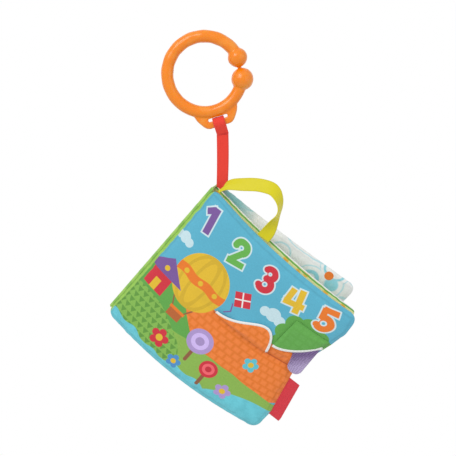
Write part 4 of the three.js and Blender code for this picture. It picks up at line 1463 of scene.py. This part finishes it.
def strap_length(name, first, last, slims):
    """One length of the doubled webbing, between two shares of the way from the stitches to the seam."""
    _, stitch, seam = strap_points()
    up = Vector((0.0, 0.0, MM))
    top, bottom = stitch + up * STRAP_LAP, seam + up * STRAP_SHORT
    fold = Vector(JOINTS["book_fold"]["axis"])
    fold.z = 0.0
    fold.normalize()
    shares = np.linspace(first, last, 30)
    centres = np.array([list(top.lerp(bottom, share)) for share in shares])
    centres[:, 0] += np.sin(shares * math.pi) * STRAP_SWAY * MM
    across = unit(np.array([list(Vector((1.0, 0.0, 0.0)).lerp(fold, share)) for share in shares]))
    out = unit(np.cross(tangents(centres), across))
    start = first * (top - bottom).length / MM
    trims = np.interp(shares, (first, last - STRAP_TIP, last), slims)
    section = np.array([tape_section(STRAP_WIDTH - trim, WEBBING * LAYER_SHARE - trim) for trim in trims])
    apart = (WEBBING / 2 + LAYER_GAP) * MM
    layers = [sweep(name, centres + out * way * apart, across, out, section, start) for way in (-1, 1)]
    made = join(name, layers)
    finish_with(made, "webbing")
    return made


def tack_row(stitch, way, row):
    """One row of the dense stitching that closes the fold, on one side of the webbing."""
    face, half = WEBBING + TACK["lift"], TACK["half_width"]
    height = stitch.z + (TACK["top"] - row * TACK["pitch"]) * MM
    path = [(stitch.x + place * MM, way * face * MM, height + math.sin(place * 9) * TACK["wave"] * MM)
            for place in np.linspace(-half, half, 24)]
    return stitch_row("tack", path, "red_thread", **TACK_STITCH)


def make_strap():
    """The doubled webbing, which twists below its stitches on its way down to the book's seam."""
    _, stitch, seam = strap_points()
    upper = strap_length("strap_upper", **STRAP_UPPER)
    lower = strap_length("strap_lower", **STRAP_LOWER)
    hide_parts("strap_webbing")
    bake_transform(upper)
    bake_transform(lower)
    rows = [tack_row(stitch, way, row) for way in (-1, 1) for row in range(TACK["rows"])]
    tack = join("strap_stitches", rows)
    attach(tack, "loop")
    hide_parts("strap_bar_tack")


# The quilted covers and leaf

# The fold across the cover: its place and width, the roll above it, and how it deepens in two steps, each
# with its share of the depth and where it begins and ends
CREASE = {"level": 59.0, "width": 3.0, "roll": 0.6, "roll_above": 7.0, "roll_width": 6.0,
          "first": (0.35, 32.0, 44.0), "second": (0.65, 50.0, 66.0)}


def crease(across, up, depth):
    """The fold that the hand leaves across the cover, above the flaps."""
    size = CREASE
    line = up - size["level"]
    reach = sum(share * ease(across, low, high) for share, low, high in (size["first"], size["second"]))
    roll = np.exp(-((line - size["roll_above"]) / size["roll_width"]) ** 2)
    return -depth * reach * np.exp(-(line / size["width"]) ** 2) + size["roll"] * depth * reach * roll


def make_panel(name, panel, body, replaced, finishes, sizes, seed, shape=None, wrap=2.6):
    """One padded panel with its own print on each side; wrap is how far the first goes round the edge."""
    made = quilt(name, panel, seed, sizes, shape, wrap)
    finish_with(made, *finishes)
    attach(made, body)
    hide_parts(*replaced)


def make_covers(sizes):
    """The front cover, the leaf and the rear cover."""
    def fold(across, up):
        return crease(across, up, sizes.crease_depth / MM)

    make_panel("front_cover_pad", COVER, "front_cover",
               ("cover_cloth", "cover_lining", "cover_batting", "cover_crinkle_film"),
               ("cover", "lining"), sizes, 11.0, fold)
    make_panel("leaf_pad", LEAF, "core", ("leaf_front_cloth", "leaf_back_cloth", "leaf_batting"),
               ("leaf_front", "leaf_back"), sizes, 23.0, wrap=0.0)
    make_panel("rear_cover_pad", REAR, "rear_cover",
               ("rear_lining", "rear_cloth", "rear_batting", "rear_crinkle_film"),
               ("rear_inside", "rear_outside"), sizes, 37.0)


# The spine

# The band's bulge and the share that hollows it, the rolls' radius, how far the ends keep from the book's
# foot and head, the half depth, the thickness, and the length over which each end is drawn together
SPINE = {"bulge": 1.5, "hollow": 0.35, "roll": 1.2, "foot": 4.3, "inset": 0.3, "depth": 8.475, "thick": 1.2,
         "close": 7.0}


def spine_levels(count):
    """Heights up the spine, from its foot to its head."""
    return np.linspace(-BOOK_HEIGHT + SPINE["foot"], -SPINE["inset"], count)


def drawn_together(levels, reach, least):
    """How far the spine's ends are closed over a reach: one along its middle, near nothing at its tips."""
    end = np.clip(np.minimum(levels.max() - levels, levels - levels.min()) / reach, 0.0, 1.0)
    return end, np.sqrt(np.clip(1.0 - (1.0 - end) ** 2, least, 1.0))


def hinge_roll(way):
    """The soft roll of cloth that a cover turns on, along one edge of the spine."""
    radius, levels = SPINE["roll"], spine_levels(120)
    end, drawn = drawn_together(levels, radius, 0.02)
    turns = np.arange(16) * math.tau / 16
    gather = ripple(np.stack([levels, np.full_like(levels, way * 40.0)], axis=-1), 4.0, 71.0) * 0.1
    reach = (radius * drawn + gather * end)[:, None, None]
    section = np.stack([np.cos(turns), np.sin(turns)], axis=-1)[None] * reach * MM
    along, back = np.full_like(levels, HINGE_SIDE), np.full_like(levels, way * SPINE_HALF_DEPTH)
    centres = np.stack([along, back, levels], axis=-1)
    ways = [repeated(BOOK_TURN @ np.array(axis), len(levels)) for axis in ((1.0, 0.0, 0.0), (0.0, 1.0, 0.0))]
    made = sweep("hinge_roll", to_world(centres), *ways, section)
    finish_with(made, "spine")
    return made


def make_spine():
    """The rounded cloth between the two covers, drawn together at both ends, with a roll at each edge."""
    size = SPINE
    angles, heights = np.linspace(-90.0, 90.0, 40), spine_levels(90)
    turn, height = np.meshgrid(np.radians(angles), heights)
    _, drawn = drawn_together(height, size["close"], 0.05)
    flat = np.stack([turn * 7.0, height], axis=-1)
    wrinkle = ripple(flat, 7.0, 51.0) * 0.35 + ripple(flat, 3.0, 57.0) * 0.12

    def skin(inward):
        hollow = 1.0 - size["hollow"] * np.sin(-height / BOOK_HEIGHT * math.pi)
        bulge = (size["bulge"] * hollow + wrinkle) * drawn - inward
        x = -bulge * np.cos(turn)
        y = (size["depth"] - inward * np.abs(np.sin(turn))) * np.sin(turn)
        return to_world(np.stack([x, y, height], axis=-1))

    made = slab("spine_band", skin(0.0), skin(size["thick"]), flat)
    line_rear(made, turn.shape)
    finish_with(made, "spine", "lining")
    made = join("spine_band", [made] + [hinge_roll(way) for way in (-1, 1)])
    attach(made, "core")
    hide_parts("spine_cloth", "spine_lining")


# The flaps

# The cloth's near and far face over the cover, the shares of its thickness that it keeps at its rim, its fold
# and its sides, and its wrinkles. Then the hem's place past the edge, its height over the cover and its half
# sizes, and the stitches' place on it.
FLAP = {"near": 0.3, "far": 1.6, "rim": 0.72, "fold": 0.15, "side": 0.35, "wrinkle": 0.18,
        "hem": 0.6, "hem_height": 1.0, "hem_half_width": 0.95, "hem_half_height": 0.72,
        "stitch_in": 0.3, "stitch_height": 1.7}
LIFT_FLAP = {"start": 57.6, "length": 44.0, "fold": 59.3, "depth": 14.5, "least": 1.2, "skew": 2.5,
             "full": 0.8}
CORNER_FLAP = {"start": 102.4, "length": 27.0, "fold": 94.0, "depth": 26.0, "slant": 0.6, "round": 0.35}


def lift_flap_spot(share, down):
    """A flat place on the lift flap, from its share of the width and how far down from the fold it is."""
    size = LIFT_FLAP
    arch = np.clip(np.sin(math.pi * share ** size["skew"]), 0.0, None) ** size["full"]
    reach = size["least"] + size["depth"] * arch
    return size["start"] + share * size["length"], size["fold"] + reach * down


def corner_flap_spot(share, down):
    """The same for the corner flap, which hangs down where the lift flap stands up."""
    size = CORNER_FLAP
    reach = size["depth"] * (1.0 - size["slant"] * share ** 2) * (1.0 - size["round"] * share ** 8)
    return size["start"] + share * size["length"], size["fold"] - reach * down


def flap_cloth(name, spot, seed):
    """The flap's two cloths as one closed sheet over the cover."""
    size = FLAP
    share, down = np.meshgrid(np.linspace(0.0, 1.0, 60), np.linspace(0.0, 1.0, 34))
    x, z = spot(share, down)
    flat = np.stack([x, z], axis=-1)
    from_side = np.minimum(share, 1.0 - share)
    lap = np.minimum(from_side * 30.0, (1.0 - down) * 12.0)
    thick = (size["far"] - size["near"]) * (size["rim"] + (1.0 - size["rim"]) * np.clip(lap, 0.0, 1.0))
    thick *= size["fold"] + (1.0 - size["fold"]) * ease(down, 0.0, 0.25)
    thick *= size["side"] + (1.0 - size["side"]) * ease(from_side, 0.0, 0.1)
    soft = ripple(flat, 9.0, seed) * size["wrinkle"] * np.clip(lap / 3.0, 0.0, 1.0)
    outer = to_world(COVER.over(x, z, size["near"] + thick + soft))
    inner = to_world(COVER.over(x, z, size["near"]))
    made = slab(name, outer, inner, flat)
    line_rear(made, share.shape)
    return made


def flap_edge(spot):
    """Flat places along a flap's free edge, and the way out from each."""
    share = np.linspace(0.0, 1.0, 140)
    free = np.stack(spot(share, np.ones_like(share)), axis=-1)
    fold = np.stack(spot(share, np.zeros_like(share)), axis=-1)
    run = tangents(free)
    outward = np.stack([run[:, 1], -run[:, 0]], axis=-1)
    return free, outward * np.sign((outward * (free - fold)).sum(axis=1, keepdims=True))


def make_flap(name, spot, body, replaced, binding, dress, seed):
    """A lined flap with a stitched hem of white cloth round its free edge."""
    size = FLAP
    made = flap_cloth(name, spot, seed)
    finish_with(made, dress, "lining")
    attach(made, body)
    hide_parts(*replaced)
    free, outward = flap_edge(spot)
    middle = free + outward * size["hem"]
    centres = to_world(COVER.over(middle[:, 0], middle[:, 1], size["hem_height"]))
    front = unit(to_world(COVER.over(middle[:, 0], middle[:, 1], size["hem_height"] + 1.0)) - centres)
    across = unit(np.cross(front, tangents(centres)))
    turns = np.arange(14) * math.tau / 14
    half_sizes = np.array([size["hem_half_width"], size["hem_half_height"]])
    section = np.stack([np.cos(turns), np.sin(turns)], axis=-1) * half_sizes
    hem = sweep(name + "_hem", centres, across, front, section * MM)
    finish_with(hem, "binding")
    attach(hem, body)
    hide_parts(*binding)
    line = middle - outward * size["stitch_in"]
    stitches = to_world(COVER.over(line[:, 0], line[:, 1], size["stitch_height"]))
    row = stitch_row(name + "_stitches", stitches, "white_thread")
    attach(row, body)


def make_flaps():
    """The half-moon lift flap and the corner flap."""
    make_flap("lift_flap_pad", lift_flap_spot, "lift_flap", ("lift_flap_cloth", "lift_flap_lining"),
              ("lift_flap_binding",), "lift_flap", 61.0)
    make_flap("corner_flap_pad", corner_flap_spot, "corner_flap", ("corner_flap_cloth", "corner_flap_lining"),
              ("corner_flap_binding",), "corner_flap", 67.0)


# The ribbed tab and the side label

# The drift is how far the tab leans towards the fore edge, and over the overhang it keeps the cover's height.
# The rim and the tuck are the shares of its thickness at which its edge's front and back lie.
TAB = {"width": 11.0, "thick": 1.3, "start": 118.8, "reach": 56.5, "drift": 6.5, "overhang": 7.0,
       "round": 5.0, "crown": 1.2, "square": 0.98, "hem": 2.1, "rib": 1.5, "rib_depth": 0.55, "near": 0.3,
       "rim": 0.35, "tuck": 0.3}


def make_tab():
    """The padded ribbed tab that hangs from the corner flap."""
    size = TAB
    share, down = np.meshgrid(np.linspace(0.0, 1.0, 90), np.linspace(0.0, 1.0, 60))
    first = (size["start"] - CORNER_FLAP["start"]) / CORNER_FLAP["length"]
    top = corner_flap_spot(first + (1.0 - first) * share, 1.0)[1] - size["hem"]
    rounded = size["round"] * (1.0 - np.sqrt(1.0 - (2.0 * share - 1.0) ** 2 * size["square"]))
    x = size["start"] + share * size["width"] + down * size["drift"]
    z = top + (size["reach"] + rounded - top) * down
    rib = 0.5 - 0.5 * np.cos(share * size["width"] / size["rib"] * math.tau)
    crown = size["crown"] * np.sin(math.pi * share) * np.sin(math.pi * down)
    lip = np.clip(np.minimum(np.minimum(share, 1.0 - share) * 9.0, (1.0 - down) * 14.0), 0.0, 1.0)

    def skin(distance):
        place = COVER.at(x, z)
        place[..., 1] = COVER.over(np.minimum(x, COVER.width - size["overhang"]), z, distance)[..., 1]
        return to_world(place)

    thick = size["thick"] * (size["rim"] + (1.0 - size["rim"]) * lip)
    outer = skin(size["near"] + thick + crown - rib * size["rib_depth"] * lip)
    inner = skin(size["near"] + size["thick"] * size["tuck"] * (1.0 - lip))
    made = slab("ribbed_tab", outer, inner, np.stack([x - size["start"], z - size["reach"]], axis=-1))
    finish_with(made, "tab")
    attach(made, "tab")
    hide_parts("pull_tab")


# The gap is between the cover's edge and the tape's showing part, the tuck is how deep its ends go, the bend
# is a reach out from the seam that nothing uses, and its two layers meet but for the slit
LABEL = {"start": 16.7, "length": 33.3, "width": 7.5, "thick": 0.8, "gap": 0.8, "tuck": 1.6, "bend": 2.6,
         "slit": 0.12, "sway": 0.25}


def label_section():
    """The outline of the tape folded once, in millimetres out from the seam and across its thickness."""
    size = LABEL
    half, tuck, slit = size["thick"] / 2, size["tuck"], size["slit"]
    reach = size["gap"] + size["width"]
    folded = [(reach - half + half * math.cos(turn), half * math.sin(turn))
              for turn in np.radians(np.linspace(-90.0, 90.0, 9))]
    inner = [(place, depth * slit) for place, depth in reversed(folded)]
    steps = np.linspace(-tuck, reach - 2 * half, 12)
    section = [(step, -half) for step in steps] + folded + [(step, half) for step in steps[::-1]]
    return np.array(section + [(-tuck, half * slit)] + inner + [(-tuck, -half * slit)])


def make_label():
    """The bare side label: one tape folded once, with both ends in the seam."""
    size = LABEL
    ups = np.linspace(size["start"], size["start"] + size["length"], 40)
    edge = COVER.at(np.full_like(ups, COVER.width), ups)
    edge[:, 1] += np.sin((ups - size["start"]) / size["length"] * math.pi) * size["sway"]
    out_way = BOOK_TURN @ unit([1.0, 0.0, BOTTOM_RISE / COVER.width])
    back_way = BOOK_TURN @ np.array([0.0, 1.0, 0.0])
    made = sweep("side_label_tape", to_world(edge), repeated(out_way, len(ups)), repeated(back_way, len(ups)),
                 label_section() * MM)
    finish_with(made, "label")
    seam, way = to_world(edge[len(edge) // 2]), out_way * MM
    seam - way * 0.2
    seam + way * size["bend"]
    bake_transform(made)
    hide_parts("side_label")


# The ribbon handle

# The pinch is the share of its width that the ribbon keeps in the seam, and the share of its length over
# which it widens
HANDLE = {"start": 1.6, "span": 48.5, "rise": 26.4, "width": 9.5, "thick": 0.55, "foot": 0.5, "pinch": 0.3,
          "curl": 0.9}

# The place along the span, the place up the rise, and the turn of the ribbon's width as a share of 90 degrees
HANDLE_STEPS = [
    (0.045, 0, 0.9), (0.095, 0.3, 0.45), (0.25, 0.58, 0.33), (0.41, 0.83, 0.33), (0.555, 0.975, 0.36),
    (0.64, 1, 0.47), (0.72, 0.965, 0.64), (0.8, 0.89, 0.81), (0.865, 0.775, 0.92), (0.9, 0.64, 0.9),
    (0.925, 0.44, 0.62), (0.955, 0.2, 0.25), (0.96, 0, 0.1),
]


def make_ribbon():
    """The satin ribbon, sewn into the cover's top seam at both ends."""
    size = HANDLE
    start, end = COVER.at(np.array([size["start"], size["start"] + size["span"]]), np.full(2, COVER.height))
    points = []
    for share, up, turn in HANDLE_STEPS:
        spot = start + (end - start) * share
        foot = start[2] + (end[2] - start[2]) * share * (1 - up)
        points.append((spot[0], spot[1], foot + size["foot"] + size["rise"] * up, turn * 90.0))
    path = smooth_path(points, 150)
    centres, turn = path[:, :3], np.radians(path[:, 3])
    run = tangents(centres)
    level = unit(np.stack([run[:, 2], np.zeros(len(run)), -run[:, 0]], axis=-1))
    deep = unit(np.cross(level, run))
    across = level * np.cos(turn)[:, None] + deep * np.sin(turn)[:, None]
    out = unit(np.cross(run, across))
    shares = np.linspace(0.0, 1.0, len(centres))
    pinch = size["pinch"] + (1 - size["pinch"]) * ease(shares, 0.0, size["pinch"])
    section = np.repeat([tape_section(size["width"], size["thick"], 14)], len(centres), axis=0)
    section[..., 0] *= pinch[:, None]
    section[..., 1] += (1 - pinch)[:, None] * np.abs(section[..., 0]) * size["curl"]
    made = sweep("satin_ribbon", to_world(centres), across @ BOOK_TURN.T, out @ BOOK_TURN.T, section)
    finish_with(made, "ribbon")
    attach(made, "handle")
    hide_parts("ribbon_handle")


# The stage: a white room, soft lights and the camera

# Where the camera looks, in world millimetres, how high it stands in degrees, how far off it is, how wide it
# sees in degrees, and the photograph's framing
CAMERA = {"look": (6.73, 0.0, -126.5), "elevation": 12.0, "distance": 600.0, "field": 29.4, "shift": 0.0112,
          "nearest": 10.0}

# How bright the room is on the book, beside the white that the camera sees
ROOM_LIGHT = 0.62

# Each lamp's name, place and size in metres, and power in watts, and the place that all of them aim at
LAMPS = (("key_light", (-0.45, -0.75, 0.55), 0.6, 5.0), ("fill_light", (0.8, -0.6, 0.05), 0.8, 1.2))
LAMP_AIM = Vector((0.0, 0.0, -0.14))


def make_room():
    """A room that is white to the camera, in gloss and through glass, and dimmer as light."""
    world = bpy.data.worlds.new("white_room")
    world.use_nodes = True
    add, link = world.node_tree.nodes.new, world.node_tree.links.new
    seen = add("ShaderNodeLightPath")
    shown = seen.outputs["Is Camera Ray"]
    for ray in ("Is Glossy Ray", "Is Transmission Ray"):
        most = add("ShaderNodeMath")
        most.operation = "MAXIMUM"
        link(shown, most.inputs[0])
        link(seen.outputs[ray], most.inputs[1])
        shown = most.outputs[0]
    level = add("ShaderNodeMapRange")
    link(shown, level.inputs["Value"])
    level.inputs["To Min"].default_value = ROOM_LIGHT
    sky = world.node_tree.nodes["Background"]
    sky.inputs["Color"].default_value = (1.0, 1.0, 1.0, 1.0)
    link(level.outputs["Result"], sky.inputs["Strength"])
    bpy.context.scene.world = world


def turned_to(way):
    """The turn that points a lamp or a camera along a direction."""
    return way.to_track_quat("-Z", "Y").to_euler()


def make_lamp(name, place, size, power):
    """One soft square lamp."""
    lamp = bpy.data.lights.new(name, "AREA")
    lamp.energy = power
    lamp.size = size
    holder = add_object(name, lamp)
    holder.location = place
    holder.rotation_euler = turned_to(LAMP_AIM - Vector(place))


def make_camera():
    """The camera at the photograph's angle."""
    rise = math.radians(CAMERA["elevation"])
    back = Vector((0.0, -math.cos(rise), math.sin(rise)))
    lens = bpy.data.cameras.new("camera")
    lens.sensor_fit = "HORIZONTAL"
    lens.angle = math.radians(CAMERA["field"])
    lens.clip_start = CAMERA["nearest"] * MM
    lens.shift_y = CAMERA["shift"]
    eye = add_object("camera", lens)
    eye.location = Vector(CAMERA["look"]) * MM + back * CAMERA["distance"] * MM
    eye.rotation_euler = turned_to(-back)
    bpy.context.scene.camera = eye


def make_stage():
    """The white room, the lamps and the photograph's camera."""
    make_room()
    for lamp in LAMPS:
        make_lamp(*lamp)
    bpy.context.scene.view_settings.view_transform = "Standard"
    make_camera()


# The operators: one for each piece or group of pieces

class BOOK_OT_ring(bpy.types.Operator):
    """Makes the open plastic ring"""
    bl_idname = "cloth_book.ring"
    bl_label = "Ring"

    def execute(self, context):
        make_ring(context.scene.book_sizes)
        return {"FINISHED"}


class BOOK_OT_strap(bpy.types.Operator):
    """Makes the webbing strap and its stitches"""
    bl_idname = "cloth_book.strap"
    bl_label = "Strap"

    def execute(self, context):
        make_loop()
        make_strap()
        return {"FINISHED"}


class BOOK_OT_covers(bpy.types.Operator):
    """Makes the three padded panels"""
    bl_idname = "cloth_book.covers"
    bl_label = "Covers and leaf"

    def execute(self, context):
        make_covers(context.scene.book_sizes)
        return {"FINISHED"}


class BOOK_OT_spine(bpy.types.Operator):
    """Makes the rounded spine"""
    bl_idname = "cloth_book.spine"
    bl_label = "Spine"

    def execute(self, context):
        make_spine()
        return {"FINISHED"}


class BOOK_OT_flaps(bpy.types.Operator):
    """Makes the two flaps with their hems"""
    bl_idname = "cloth_book.flaps"
    bl_label = "Flaps"

    def execute(self, context):
        make_flaps()
        return {"FINISHED"}


class BOOK_OT_tapes(bpy.types.Operator):
    """Makes the ribbed tab, the side label and the ribbon"""
    bl_idname = "cloth_book.tapes"
    bl_label = "Tab, label and ribbon"

    def execute(self, context):
        make_tab()
        make_label()
        make_ribbon()
        return {"FINISHED"}


class BOOK_OT_stage(bpy.types.Operator):
    """Makes the white room, the lights and the camera"""
    bl_idname = "cloth_book.stage"
    bl_label = "Stage"

    def execute(self, context):
        make_stage()
        return {"FINISHED"}


class BOOK_PT_panel(bpy.types.Panel):
    """Lists the book's sizes, colours and pieces"""
    bl_idname = "BOOK_PT_panel"
    bl_label = "Cloth Book"
    bl_space_type = "VIEW_3D"
    bl_region_type = "UI"
    bl_category = "Cloth Book"

    def draw(self, context):
        for group in (context.scene.book_sizes, context.scene.book_colours):
            for name in group.__annotations__:
                self.layout.prop(group, name)
        for step in STEPS:
            self.layout.operator(step.bl_idname)


STEPS = (BOOK_OT_stage, BOOK_OT_ring, BOOK_OT_strap, BOOK_OT_covers, BOOK_OT_spine, BOOK_OT_flaps,
         BOOK_OT_tapes)
CLASSES = (BookSizes, BookColours) + STEPS + (BOOK_PT_panel,)


def register():
    for cls in CLASSES:
        bpy.utils.register_class(cls)
    bpy.types.Scene.book_sizes = bpy.props.PointerProperty(type=BookSizes)
    bpy.types.Scene.book_colours = bpy.props.PointerProperty(type=BookColours)


def unregister():
    del bpy.types.Scene.book_colours
    del bpy.types.Scene.book_sizes
    for cls in reversed(CLASSES):
        bpy.utils.unregister_class(cls)


def main():
    register()
    for step in STEPS:
        getattr(bpy.ops.cloth_book, step.bl_idname.split(".")[1])()


if __name__ == "__main__":
    main()
